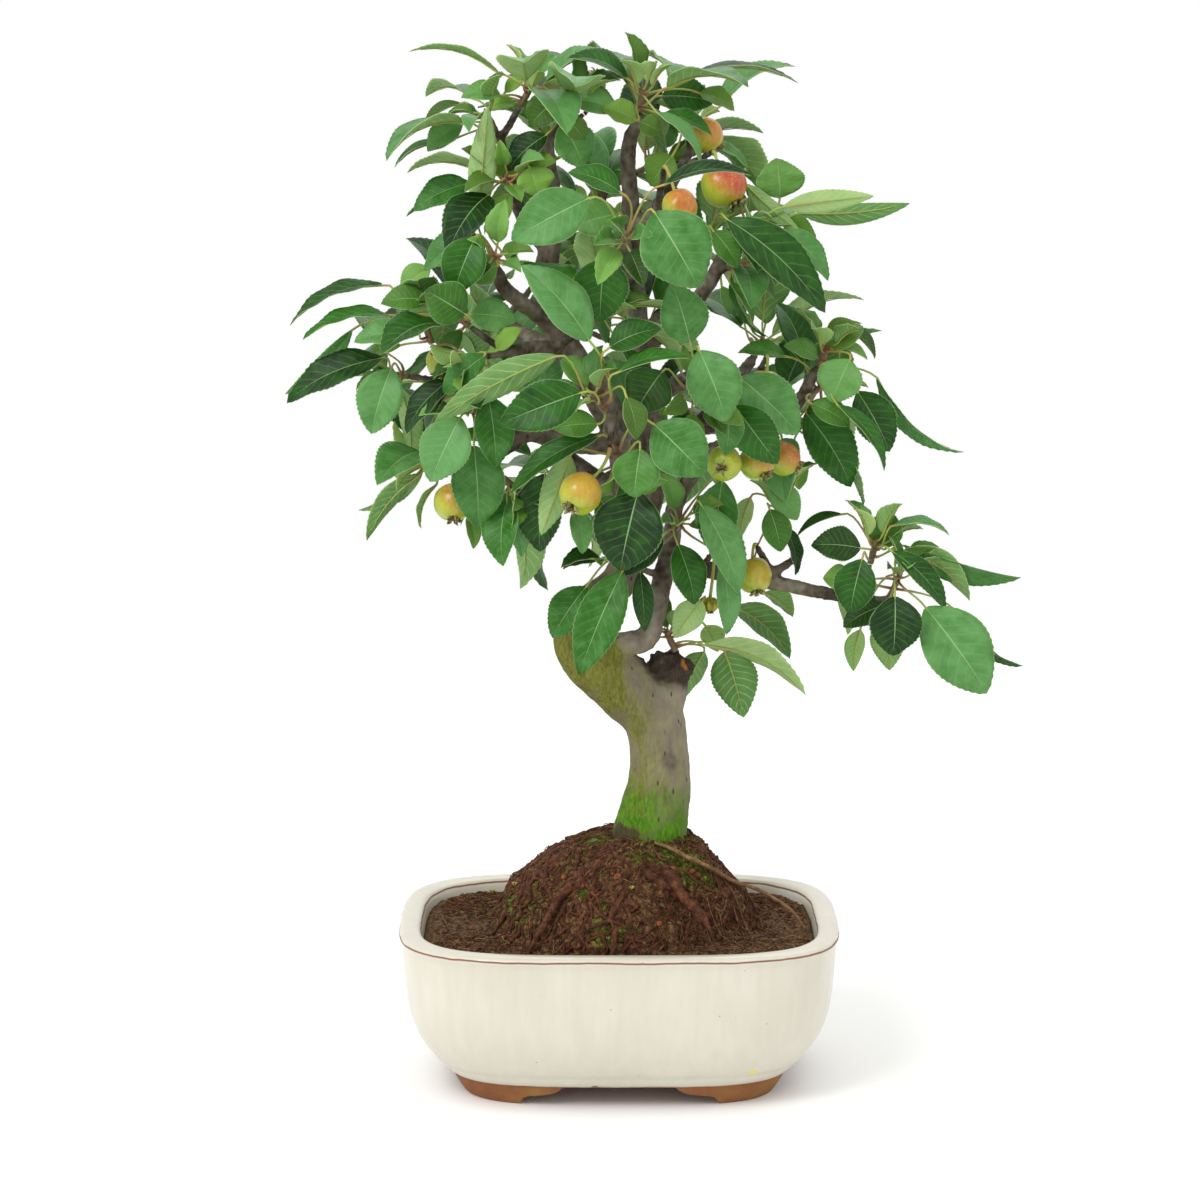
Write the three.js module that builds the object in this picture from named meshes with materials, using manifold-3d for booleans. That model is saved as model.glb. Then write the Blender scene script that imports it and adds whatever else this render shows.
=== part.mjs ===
// A crabapple bonsai in fruit, about 0.6 m tall, standing in its glazed stoneware pot.
// Millimetres, +Z up. The show side, from which a bonsai is styled, faces -Y.
// The tree is laid out on the show view: a square sheet that an eye in front of the tree looks
// through. A place on the sheet is [steps across, steps down, depth], where the depth in mm is
// measured from the trunk's plane and is negative nearer the eye.
import * as THREE from "three";
import { mergeVertices } from "three/addons/utils/BufferGeometryUtils.js";
import Module from "manifold-3d";

const wasm = await Module();
wasm.setup();
const V = (x, y, z) => new THREE.Vector3(x, y, z);
const CLEARANCE = 0.3; // mm between neighbouring pieces that touch
const BEYOND = 200; // mm, half the length of a cutter that runs out of the pot on both sides
const PAST = 1; // mm by which a cutter passes the face it opens

// ---------------------------------------------------------------- driving dimensions (mm)
const EYE = V(-11, -2000, 626); // eye of the show view
const AIM = V(-11, 0, 279.8); // point of the trunk's plane in the middle of the sheet
const MIDDLE = 600; // the middle of the sheet, in steps
const FOCAL = 3531; // distance of the sheet from the eye, in steps

const POT = {
  sides: 20, // points round each outline
  squareness: 3.8, // exponent of the rounded outline
  footHeight: 12,
  floorTop: 22,
  rimTop: 94,
  // [height, half width, half depth] up the glazed outside, over the rim and down the inside
  outside: [
    [12, 98.5, 75.5], [20, 106.5, 82.5], [34, 116.5, 91], [56, 123, 96],
    [87, 125.5, 98.2], [90, 127, 99.5], [94, 125, 97.6],
  ],
  inside: [[94, 115.5, 88], [90, 113.6, 86.2], [60, 111.5, 84.5], [34, 103, 77.5], [22, 91, 67]],
  footOutline: { bottom: [91, 69], top: [97.5, 74.5], wall: 13 },
  footReach: { gapX: 31, gapY: 24 }, // half the opening between the feet, along the front and the side
  footPad: { gapX: 57, gapY: 43 }, // half the distance between the pads that meet the ground
  bracketHeight: 6.5, // underside of the raised part of a foot
  drainHoles: [-45, 45],
  drainRadius: 9,
  drainSides: 12,
};
const SCREEN = { side: 24, thickness: 1.2, bar: 2, openings: 2 };
const SOIL = { level: 86.5, gap: 0.4 };
const MOUND = {
  sides: 16,
  // [height, middle x, half width, half depth]
  profile: [
    [55, 0, 72, 60], [86, 0, 78, 66], [106, 0, 69, 59], [122, 2, 56, 49], [135, 8, 40, 37], [142, 14, 25, 24],
  ],
  // [waves round the mound, share of the radius, start and turn for each ring up, in radians]
  lumps: [[3, 0.05, 1.2, 0], [5, 0.03, 0.6, 1]],
};
// Surface roots: [[x, y, z, radius], ...] from inside the foot of the trunk
const ROOTS = [
  [[18, -8, 131, 7], [27, -37, 127, 5.4], [48, -57, 106, 4.2], [64, -69, 82, 2.4]],
  [[14, -10, 131, 7], [7, -42, 126, 5], [0, -61, 107, 4], [-10, -74, 82, 2.2]],
  [[6, -4, 132, 7], [-24, -13, 134.5, 5.4], [-56, -21, 116, 4.2], [-79, -26, 82, 2.4]],
  [[8, -8, 132, 6], [-21, -38, 128, 4.8], [-42, -55, 107, 3.7], [-56, -66, 82, 2.2]],
  [[26, 2, 131, 7.5], [49, -1, 128, 5.8], [69, -9, 105, 4.2], [83, -13, 82, 2.4]],
  [[18, 10, 131, 7], [9, 39, 127, 5], [-1, 59, 108, 3.8], [-7, 69, 82, 2.4]],
  [[26, 10, 131, 6.5], [43, 35, 124, 4.8], [61, 61, 82, 2.5]],
  [[4, 6, 131, 6], [-29, 28, 127, 4.4], [-61, 52, 82, 2.4]],
  [[26, 8, 134, 4], [50, 22, 123, 2.6], [84, 30, 89.6, 1.9], [109, -6, 87.8, 1.3]],
];
const ROOT_SIDES = 4;

const LEAF = {
  ribThickness: 1.1, // mm through the midrib
  petiole: 0.75, // radius in mm
  // [share of the length, share of the half width] of the edge, foot to tip
  edge: [[0.16, 0.72], [0.42, 1], [0.66, 0.84], [0.86, 0.44]],
  foot: 0.1, // half width of the blade's foot, as a share of the leaf's half width
  ribs: [0.36, 0.7], // places of the midrib's points, as shares of the length
  fold: 0.42, // radians by which each half is folded up
  arch: 0.13, // rise of the midrib, as a share of the length
};
// The leaves that a rule adds to a shoot; each pair is a lowest and a highest value.
const WILD = {
  length: [42, 56], // mm, of the blade
  width: 0.56, // share of the length
  widthSpread: [0.85, 1.1],
  petiole: [14, 24], // mm
  lift: 0.12, // rise of the petiole, as a share of its length
  open: [0.6, 1.4], // radians between the petiole and the shoot
  droop: [-0.75, 0.1], // rise of the blade against its reach
  lean: [-0.35, 0.35], // of the upper face away from the sky
  heights: [190, 592], // mm, of the foot and the tip above the ground
  spiral: THREE.MathUtils.degToRad(137.5), // between one leaf and the next round the shoot
  tries: 30,
  shrink: 0.01, // share taken off the size at each try
};
const SHOOT = { radii: [1.8, 2.1, 1.3], pitch: 6.2, sides: 4 }; // rings of a shoot, and their spacing
const TWIG = { base: 2.6, tip: 1.9, sides: 3, back: 9, share: 0.9 };

// A pome: dimple, shoulder, belly and basin as [share of the radius along the axis, radius share],
// then the eye, whose dry sepals spread as a five-pointed star.
const POME = [[-0.74, 0.2], [-0.88, 0.52], [-0.3, 0.96], [0.34, 0.95], [0.84, 0.36], [1.16, 0.54]];
const SEPALS = { count: 5, notch: 0.45, sunk: 0.25 };
const STALK = {
  sides: 3,
  radii: [1.2, 1, 0.8, 1],
  bend: 0.45, // how far it runs on the way its twig points, as a share of its reach
  foot: 0.6, // place of its end inside the dimple, as a share of the pome's radius
  spur: 2.5, // mm
  spurRadius: 1.9,
  spurSides: 5,
};
// ---------------------------------------------------------------- layout of the tree
// Branches: [name, sides, [[across, down, depth, radius in mm], ...]]
const BRANCHES = [
  ["trunk", 9, [
    [650, 866, 0, 24], [651, 832, 0, 21.5], [658, 790, 0, 18.8], [659, 752, 0, 17.2],
    [652, 714, 0, 18], [622, 684, -2, 18.8], [590, 656, -4, 17.5], [580, 630, -2, 14.8],
    [594, 604, 4, 12.3], [618, 582, 8, 10.8], [633, 548, 8, 9.8], [634, 505, 6, 9.4],
    [620, 440, 3, 8.9], [598, 395, 0, 8.5], [562, 338, 1, 7.9], [545, 288, 4, 7],
    [553, 215, 8, 5.9], [545, 142, 5, 4.6],
  ]],
  ["second_leader", 6, [
    [632, 548, 8, 8], [651, 500, 10, 7], [654, 445, 12, 6.6], [642, 380, 14, 6.1],
    [637, 300, 12, 5.6], [632, 220, 9, 5.1], [628, 150, 2, 4.4], [639, 122, -4, 3.8],
  ]],
  ["cross_branch", 6, [
    [600, 652, -6, 9], [622, 644, -12, 7.4], [648, 636, -10, 6.6], [660, 590, -6, 6.1],
    [672, 535, 0, 5.4], [677, 500, 2, 4.8], [714, 446, -14, 3.8],
  ]],
  ["pruned_stump", 6, [[662, 700, 2, 14], [668, 676, 4, 12], [664, 652, 6, 8.5]]],
  ["stump_nub", 5, [[668, 676, 0, 8], [689, 665, -6, 5.5]]],
  ["low_east", 5, [
    [668, 560, 0, 5.2], [735, 576, 3, 4.8], [766, 581, 0, 4.7], [800, 588, -5, 4.2],
    [834, 595, -8, 3.6], [888, 601, -8, 2.7],
  ]],
  ["low_east_twig", 4, [[762, 580, 0, 3.4], [784, 566, 4, 2.8], [800, 556, 7, 2.2]]],
  ["mid_east", 5, [
    [648, 404, 12, 5.6], [682, 382, -4, 5.2], [718, 376, -10, 4.9], [756, 396, -10, 4.5],
    [790, 410, -8, 4.2], [815, 372, -9, 3.2],
  ]],
  ["upper_east", 5, [
    [640, 348, 12, 5.4], [664, 332, -4, 5.1], [706, 288, -9, 4.5], [735, 228, -2, 3.4],
  ]],
  ["crown_east", 5, [[633, 232, 9, 4.2], [658, 205, 4, 3.9], [690, 152, 24, 2.8]]],
  ["west_arm", 5, [
    [612, 444, 0, 6.4], [570, 442, -10, 6], [504, 420, -20, 5], [452, 380, -24, 4],
    [438, 360, -22, 3.4],
  ]],
  ["upper_west", 5, [[556, 328, 2, 5.6], [508, 292, -16, 4.5], [497, 270, -22, 3.8]]],
  ["west_face", 5, [[570, 350, 0, 5], [536, 348, -30, 4.4], [508, 352, -52, 3.6]]],
  ["high_west", 5, [[550, 248, 6, 4.6], [524, 222, 4, 4], [500, 140, 0, 2.9]]],
  ["low_west", 5, [[535, 430, -16, 4.6], [486, 460, -20, 3.4], [458, 464, -20, 2.8]]],
  ["face_low", 5, [[622, 440, 2, 6], [612, 434, -25, 5.2], [612, 420, -72, 3.8]]],
  ["face_high", 5, [[637, 300, 12, 5.4], [630, 276, -34, 4.6], [624, 240, -86, 3.6]]],
  ["face_east", 5, [[644, 390, 14, 5], [662, 392, -20, 4.4], [682, 378, -46, 3.6]]],
  ["back_centre", 5, [[634, 480, 4, 7], [640, 440, 40, 6], [650, 400, 74, 5], [640, 350, 96, 4]]],
  ["back_crown", 5, [[637, 305, 12, 5.4], [618, 276, 50, 4.6], [600, 225, 78, 3.6], [606, 176, 66, 3]]],
  ["back_west", 5, [[578, 362, 2, 6], [545, 345, 38, 5.2], [486, 315, 84, 3.2]]],
  ["back_east", 5, [[654, 450, 12, 6], [694, 430, 44, 5.2], [752, 360, 76, 3.4]]],
  ["back_south", 5, [[634, 500, 6, 6], [600, 480, 36, 5], [545, 440, 52, 3.8], [505, 410, 58, 3]]],
  ["back_shoulder", 5, [[640, 345, 12, 5], [672, 300, 40, 4.2], [695, 262, 56, 3.2]]],
];

// Fruit: [name, the seat of the stalks on a spur,
//   [[across, down, depth, radius in mm, lean of the eye end across, in depth and up], ...]]
const FRUIT = [
  ["fruit_front", [610, 446, -82], [[580, 494, -94, 11.8, -0.05, -0.5, 0]]],
  ["fruit_west", [441, 346, -34], [[444, 362, -44, 10.2, -0.3, -0.2, 0]]],
  ["fruit_south_west", [464, 466, -26], [[453, 503, -40, 11, 0.3, -0.1, 0]]],
  ["fruit_crown", [584, 114, 12], [[592, 84, 12, 8, 0.3, 0.2, 0]]],
  ["fruit_red", [712, 152, -14], [[724, 186, -22, 12.8, 0.35, -0.1, 0]]],
  ["fruit_crown_east", [688, 112, 6], [[706, 136, 2, 10.2, 0.2, 0.1, 0]]],
  ["fruit_half_hidden", [664, 168, -42], [[680, 207, -62, 9.8, 0, 0, 0]]],
  ["fruit_bunch_east", [742, 424, -34], [
    [724, 463, -58, 10, -0.1, -1.6, 0.2], [757, 463, -45, 10.2, 0.35, -0.5, 0],
    [784, 459, -26, 9.8, 0.5, -0.4, 0],
  ]],
  ["fruit_mid_east", [766, 358, -30], [[765, 387, -36, 9.6, 0, 0, 0]]],
  ["fruit_low_east", [757, 546, -6], [[754, 576, -14, 10.4, 0.2, -0.1, 0]]],
  ["fruit_withered", [711, 554, -12], [[710, 605, -20, 4.6, 0.1, -0.2, 0]]],
];

// Leafy shoots: the seat of each on its twig, the leaves that make the outline and the face of the
// crown, and how many more the rule adds. A leaf is [blade foot across, down, blade tip across, down,
// depth in mm, width in steps, turn in degrees]; at turn 0 its upper face meets the eye, at 90 it
// faces the sky and at 180 its underside meets the eye.
const SPRAYS = [
  { name: "crown_west", seat: [562, 116, -4], more: 2, leaves: [
    [546, 82, 612, 52, -4, 40, 72], [573, 100, 619, 113, -12, 34, 40], [556, 101, 529, 127, -14, 32, 20],
    [582, 97, 543, 88, 14, 24, 30], [568, 120, 585, 140, -26, 22, 10], [563, 125, 584, 168, -16, 40, 15],
    [546, 135, 507, 172, -10, 30, 30],
  ] },
  { name: "crown_east", seat: [640, 112, -6], more: 2, leaves: [
    [672, 87, 798, 80, -6, 30, 82], [662, 96, 714, 102, 8, 36, 20], [700, 93, 735, 110, 16, 24, 30],
    [662, 115, 712, 136, -14, 24, 55], [658, 113, 702, 163, -4, 22, 60], [640, 122, 661, 133, -18, 22, 20],
    [627, 78, 567, 57, -10, 34, 62], [636, 120, 602, 108, -8, 26, 30],
  ] },
  { name: "west_top", seat: [520, 106, 0], more: 3, leaves: [
    [498, 72, 409, 51, 0, 26, 96], [500, 95, 461, 97, -12, 26, 45], [505, 92, 528, 76, 8, 14, 30],
    [515, 103, 487, 110, 10, 18, 40],
  ] },
  { name: "west_high", seat: [496, 132, -2], more: 2, leaves: [
    [460, 103, 423, 128, 4, 22, 66], [462, 124, 427, 151, -8, 28, 30], [446, 142, 394, 166, 2, 20, 76],
    [500, 150, 508, 185, -8, 26, 20],
  ] },
  { name: "west_shoulder", seat: [512, 188, -10], more: 3, leaves: [
    [470, 183, 413, 210, -8, 30, 30], [470, 200, 406, 216, 2, 18, 118], [522, 170, 556, 160, -22, 26, 40],
    [530, 168, 538, 196, -34, 36, 15],
  ] },
  { name: "upper_west", seat: [496, 262, -46], more: 1, leaves: [
    [478, 216, 488, 106, -34, 26, 180], [475, 238, 453, 294, -66, 42, 8], [478, 236, 424, 270, -46, 34, 35],
    [497, 266, 467, 277, -58, 34, 18], [507, 260, 519, 240, -52, 16, 20], [490, 226, 512, 194, -26, 28, 20],
    [466, 213, 441, 242, -16, 10, 80], [430, 268, 401, 292, -30, 26, 30],
  ] },
  { name: "west_a", seat: [470, 326, -50], more: 2, leaves: [
    [465, 314, 425, 290, -74, 42, 5], [428, 300, 381, 303, -50, 28, 30], [472, 314, 517, 320, -54, 32, 15],
    [462, 330, 440, 372, -30, 22, 30],
  ] },
  { name: "west_b", seat: [432, 344, -22], more: 2, leaves: [
    [382, 285, 290, 325, -22, 28, 66], [388, 315, 303, 340, -38, 28, 66], [410, 333, 354, 342, -50, 28, 35],
    [352, 330, 285, 394, -4, 12, 88], [400, 345, 372, 354, -20, 18, 40],
  ] },
  { name: "west_c", seat: [410, 376, -16], more: 2, leaves: [
    [382, 358, 286, 402, -26, 36, 34], [391, 369, 371, 434, -36, 44, 10], [414, 360, 410, 418, -44, 14, 70],
    [400, 388, 411, 463, -22, 24, 150],
  ] },
  { name: "low_west_tip", seat: [446, 462, -18], more: 2, leaves: [
    [402, 445, 378, 475, -8, 20, 130], [424, 466, 358, 510, -4, 18, 118], [420, 474, 366, 540, -16, 24, 140],
    [436, 484, 420, 528, -30, 20, 100], [424, 440, 422, 470, 2, 30, 30],
  ] },
  { name: "west_face", seat: [486, 356, -60], more: 1, leaves: [
    [450, 380, 405, 433, -62, 28, 35], [484, 356, 444, 394, -74, 28, 20], [497, 350, 521, 328, -60, 20, 30],
    [500, 372, 522, 392, -56, 24, 30],
  ] },
  { name: "west_under", seat: [476, 412, -48], more: 1, leaves: [
    [460, 418, 430, 482, -78, 48, 5], [488, 396, 496, 468, -68, 38, 12], [474, 446, 478, 528, -58, 50, 8],
  ] },
  { name: "south_west", seat: [504, 478, -36], more: 2, leaves: [
    [503, 494, 522, 557, -44, 28, 28], [488, 506, 496, 560, -26, 14, 60], [468, 514, 474, 549, -24, 16, 30],
    [545, 474, 540, 552, -52, 46, 15],
  ] },
  { name: "face_low", seat: [606, 412, -74], more: 0, leaves: [
    [556, 356, 434, 422, -100, 28, 48], [580, 393, 500, 424, -112, 46, 5], [589, 340, 522, 264, -96, 44, 22],
    [610, 347, 661, 328, -98, 32, 28], [620, 371, 690, 358, -108, 22, 55], [627, 398, 636, 440, -112, 26, 30],
    [597, 424, 553, 428, -88, 26, 15],
  ] },
  { name: "face_south", seat: [618, 446, -66], more: 0, leaves: [
    [655, 425, 705, 475, -104, 54, 5], [640, 450, 634, 498, -102, 44, 5], [638, 492, 620, 571, -88, 66, 5],
    [598, 436, 510, 492, -86, 26, 38], [570, 456, 541, 535, -84, 30, 180], [575, 508, 583, 554, -62, 22, 20],
  ] },
  { name: "face_high", seat: [624, 240, -90], more: 0, leaves: [
    [655, 213, 699, 288, -116, 68, 5], [665, 184, 752, 174, -104, 26, 60], [587, 199, 511, 240, -116, 50, 5],
    [632, 236, 566, 250, -112, 32, 28], [618, 214, 572, 226, -98, 36, 10], [620, 192, 568, 172, -104, 28, 38],
    [605, 258, 600, 322, -84, 54, 8],
  ] },
  { name: "face_east", seat: [688, 388, -56], more: 0, leaves: [
    [690, 342, 672, 282, -82, 46, 8], [700, 352, 727, 422, -88, 52, 8], [688, 372, 683, 345, -74, 12, 20],
    [728, 404, 726, 456, -64, 28, 15], [740, 378, 799, 434, -50, 50, 12], [735, 406, 778, 464, -62, 42, 12],
    [662, 372, 636, 412, -70, 48, 12],
  ] },
  { name: "east_shoulder", seat: [738, 240, -10], more: 1, leaves: [
    [728, 220, 825, 313, -46, 46, 28], [780, 230, 829, 280, -22, 28, 38], [780, 236, 817, 240, 12, 40, 12],
    [800, 213, 910, 204, -4, 14, 88], [783, 207, 874, 196, -16, 20, 72], [745, 184, 800, 232, -26, 18, 72],
    [780, 198, 776, 158, 2, 46, 12], [720, 214, 750, 207, 0, 18, 30],
  ] },
  { name: "east_under", seat: [728, 268, -12], more: 1, leaves: [
    [714, 232, 738, 268, -52, 28, 25], [758, 262, 794, 290, -14, 22, 122], [745, 270, 776, 300, -2, 18, 50],
    [732, 272, 766, 338, -14, 18, 50], [730, 282, 753, 323, -24, 16, 50], [722, 286, 729, 315, 16, 14, 30],
  ] },
  { name: "east_crown", seat: [690, 142, 32], more: 4, leaves: [
    [706, 144, 749, 169, 16, 18, 62], [672, 156, 650, 186, -12, 32, 15],
  ] },
  { name: "mid_east_tip", seat: [818, 366, -10], more: 0, leaves: [
    [826, 343, 864, 328, -14, 32, 22], [846, 326, 876, 358, -2, 18, 55], [850, 360, 832, 403, -32, 44, 12],
    [877, 378, 962, 455, -8, 24, 55], [858, 392, 890, 452, -22, 40, 12], [838, 405, 886, 470, -12, 22, 55],
    [818, 358, 784, 345, -12, 22, 38], [838, 345, 868, 359, -20, 14, 50],
  ] },
  { name: "mid_east_low", seat: [806, 398, -4], more: 1, leaves: [
    [806, 413, 852, 487, -4, 46, 18], [812, 404, 850, 426, -28, 26, 25], [785, 356, 738, 352, -14, 22, 45],
    [792, 458, 800, 490, 20, 20, 25], [780, 430, 745, 440, 10, 30, 20],
  ] },
  { name: "low_east_tip", seat: [870, 564, -8], more: 0, leaves: [
    [841, 514, 797, 535, 2, 14, 55], [860, 548, 811, 545, -26, 34, 18], [862, 560, 850, 614, -38, 40, 8],
    [886, 548, 888, 508, -2, 34, 12], [895, 525, 950, 533, -8, 20, 68], [905, 546, 1021, 577, 6, 22, 74],
    [904, 550, 971, 598, -6, 34, 130], [893, 552, 946, 610, -28, 26, 36],
  ] },
  { name: "low_east_drop", seat: [892, 592, -10], more: 0, leaves: [
    [926, 608, 988, 694, -32, 62, 8], [955, 610, 1022, 668, -2, 18, 62], [895, 597, 893, 656, -42, 50, 8],
    [884, 605, 843, 627, -14, 28, 22], [880, 625, 890, 670, -2, 34, 160], [860, 630, 853, 671, 4, 20, 160],
    [838, 590, 848, 635, 2, 20, 140], [850, 580, 823, 578, -8, 26, 15],
  ] },
  { name: "south_centre", seat: [676, 528, -12], more: 0, leaves: [
    [678, 545, 695, 605, -32, 34, 16], [722, 565, 727, 635, -32, 24, 22], [702, 506, 740, 594, -54, 36, 22],
    [722, 482, 716, 555, -34, 40, 10], [662, 536, 622, 576, -34, 30, 16], [640, 572, 645, 632, -30, 20, 20],
    [697, 490, 648, 488, -62, 28, 36],
  ] },
  { name: "south_east", seat: [786, 520, 2], more: 0, leaves: [
    [772, 486, 798, 520, -14, 28, 15], [770, 510, 781, 552, -24, 28, 12], [784, 526, 796, 575, -6, 18, 45],
    [750, 498, 738, 540, 12, 20, 160], [765, 592, 793, 617, 12, 26, 130],
  ] },
  { name: "trunk_west", seat: [628, 562, -24], more: 0, leaves: [
    [622, 572, 579, 675, -48, 44, 8], [586, 587, 552, 638, -30, 36, 12], [600, 500, 622, 530, -40, 34, 15],
  ] },
  { name: "stump_shoot", seat: [676, 652, -2], more: 0, leaves: [
    [705, 645, 806, 694, -8, 38, 122], [725, 652, 744, 717, 2, 44, 158], [704, 652, 683, 697, 12, 26, 160],
    [735, 606, 791, 657, 16, 36, 140], [703, 600, 674, 638, -12, 28, 170], [706, 626, 718, 652, 4, 24, 160],
  ] },
  // the sides and the back of the crown, filled by the rule alone
  { name: "back_crown_west", seat: [584, 160, 66], more: 6, leaves: [] },
  { name: "back_crown_east", seat: [638, 172, 56], more: 6, leaves: [] },
  { name: "back_high", seat: [598, 218, 100], more: 6, leaves: [] },
  { name: "back_east_high", seat: [702, 250, 62], more: 6, leaves: [] },
  { name: "back_west_high", seat: [536, 282, 72], more: 6, leaves: [] },
  { name: "back_west_mid", seat: [482, 318, 88], more: 6, leaves: [] },
  { name: "back_west_low", seat: [492, 398, 62], more: 6, leaves: [] },
  { name: "back_mid", seat: [640, 340, 112], more: 6, leaves: [] },
  { name: "back_centre", seat: [585, 330, 100], more: 6, leaves: [] },
  { name: "back_east_mid", seat: [756, 352, 82], more: 6, leaves: [] },
  { name: "back_east_low", seat: [722, 430, 76], more: 6, leaves: [] },
  { name: "back_low", seat: [640, 448, 88], more: 6, leaves: [] },
  { name: "back_south", seat: [562, 470, 50], more: 6, leaves: [] },
  { name: "inner_east", seat: [770, 420, 24], more: 6, leaves: [] },
  { name: "inner_centre", seat: [592, 322, -30], more: 6, leaves: [] },
];

// ---------------------------------------------------------------- the show view
const VIEW_DIR = AIM.clone().sub(EYE).normalize();
const VIEW_RIGHT = V(1, 0, 0);
const VIEW_UP = VIEW_RIGHT.clone().cross(VIEW_DIR);

// The point that lies behind a place on the sheet, at a depth from the trunk's plane.
function place([across, down, depth]) {
  const ray = VIEW_DIR.clone().multiplyScalar(FOCAL);
  ray.addScaledVector(VIEW_RIGHT, across - MIDDLE).addScaledVector(VIEW_UP, MIDDLE - down);
  return EYE.clone().addScaledVector(ray, (depth - EYE.y) / ray.y);
}

// Size in mm of one step of the sheet, seen at a point.
const stepAt = (point) => point.clone().sub(EYE).dot(VIEW_DIR) / FOCAL;

// ---------------------------------------------------------------- solids
let seed = 20731;
function random() {
  seed = (seed * 16807) % 2147483647;
  return seed / 2147483647;
}
const between = (low, high) => low + (high - low) * random();

function solidOf(geometry) {
  const bare = geometry.clone();
  bare.deleteAttribute("normal");
  bare.deleteAttribute("uv");
  const merged = mergeVertices(bare);
  return new wasm.Manifold(new wasm.Mesh({
    numProp: 3,
    vertProperties: merged.attributes.position.array,
    triVerts: new Uint32Array(merged.index.array),
  }));
}

function geometryOf(solid) {
  const made = solid.getMesh();
  return new THREE.BufferGeometry()
    .setAttribute("position", new THREE.BufferAttribute(made.vertProperties, 3))
    .setIndex(new THREE.BufferAttribute(made.triVerts, 1));
}

const joined = (solids) => solids.reduce((whole, solid) => whole.add(solid));

// A closed cylinder whose rings are laid by a rule: at(ring, angle, reach) gives the point of a ring
// at an angle, where reach is 1 on the skin and 0 in the middle of an end face.
function skinned(sides, rings, at) {
  const geometry = new THREE.CylinderGeometry(1, 1, rings - 1, sides, rings - 1);
  const position = geometry.attributes.position;
  for (let i = 0; i < position.count; i += 1) {
    const ring = Math.round(position.getY(i) + (rings - 1) / 2);
    const step = (2 * Math.PI) / sides;
    const corner = (Math.round(Math.atan2(position.getX(i), position.getZ(i)) / step) + sides) % sides;
    const reach = Math.round(Math.hypot(position.getX(i), position.getZ(i)));
    const point = at(ring, corner * step, reach);
    position.setXYZ(i, point.x, point.y, point.z);
  }
  return solidOf(geometry);
}

// A round limb along a line of points, with a radius at each; its first end may be cut square to a way.
function limb(points, radii, sides, squareTo = null) {
  const last = points.length - 1;
  const upright = Math.abs(points[last].clone().sub(points[0]).normalize().z) > 0.9;
  let side = upright ? V(1, 0, 0) : V(0, 0, 1);
  const frames = points.map((_, i) => {
    const chord = points[Math.min(i + 1, last)].clone().sub(points[Math.max(i - 1, 0)]).normalize();
    const along = i === 0 && squareTo ? squareTo.clone() : chord;
    side = side.clone().addScaledVector(along, -side.dot(along)).normalize();
    return { side, across: along.clone().cross(side) };
  });
  return skinned(sides, points.length, (ring, angle, reach) => points[ring].clone()
    .addScaledVector(frames[ring].side, Math.cos(angle) * radii[ring] * reach)
    .addScaledVector(frames[ring].across, Math.sin(angle) * radii[ring] * reach));
}

function box(x0, x1, y0, y1, z0, z1) {
  return solidOf(new THREE.BoxGeometry(x1 - x0, y1 - y0, z1 - z0)
    .translate((x0 + x1) / 2, (y0 + y1) / 2, (z0 + z1) / 2));
}

const drum = (radius, z0, z1, x, sides) => solidOf(new THREE.CylinderGeometry(radius, radius, z1 - z0, sides)
  .rotateX(Math.PI / 2).translate(x, 0, (z0 + z1) / 2));

// ---------------------------------------------------------------- pot
// A stack of rounded oblongs, each [height, half width, half depth].
function oblongs(profile, sides = POT.sides) {
  const power = 2 / POT.squareness;
  const bend = (c) => Math.sign(c) * Math.abs(c) ** power;
  return skinned(sides, profile.length, (ring, angle, reach) => {
    const [height, halfWidth, halfDepth] = profile[ring];
    const turned = angle + Math.PI / sides;
    return V(bend(Math.cos(turned)) * halfWidth * reach, bend(Math.sin(turned)) * halfDepth * reach, height);
  });
}

function buildPot() {
  const inside = [...POT.inside].reverse();
  const [, mouthWidth, mouthDepth] = inside.at(-1);
  inside.push([POT.rimTop + PAST, mouthWidth, mouthDepth]);
  const bowl = oblongs(POT.outside).subtract(oblongs(inside));
  const { bottom, top, wall } = POT.footOutline;
  const footTop = POT.footHeight + PAST;
  const within = (halves) => halves.map((half) => half - wall);
  const inner = oblongs([[-PAST, ...within(bottom)], [footTop + PAST, ...within(top)]]);
  const skirt = oblongs([[0, ...bottom], [footTop, ...top]]).subtract(inner);
  const cuts = [[POT.footReach, footTop + PAST], [POT.footPad, POT.bracketHeight]];
  const feet = cuts.reduce((ring, [{ gapX, gapY }, upTo]) => ring
    .subtract(box(-gapX, gapX, -BEYOND, BEYOND, -PAST, upTo))
    .subtract(box(-BEYOND, BEYOND, -gapY, gapY, -PAST, upTo)), skirt);
  const drains = POT.drainHoles.map((x) => drum(POT.drainRadius, 0, POT.floorTop + PAST, x, POT.drainSides));
  return drains.reduce((pot, drain) => pot.subtract(drain), bowl.add(feet));
}

// A square of plastic net that covers a drain hole: bars both ways, with square openings between.
function buildScreen(x) {
  const half = SCREEN.side / 2;
  const bottom = POT.floorTop + CLEARANCE;
  const top = bottom + SCREEN.thickness;
  const pitch = (SCREEN.side - SCREEN.bar) / SCREEN.openings;
  const opening = pitch - SCREEN.bar;
  let net = box(x - half, x + half, -half, half, bottom, top);
  for (let i = 0; i < SCREEN.openings; i += 1) {
    for (let j = 0; j < SCREEN.openings; j += 1) {
      const left = x - half + SCREEN.bar + i * pitch;
      const front = -half + SCREEN.bar + j * pitch;
      net = net.subtract(box(left, left + opening, front, front + opening, bottom - PAST, top + PAST));
    }
  }
  return net;
}

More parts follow.
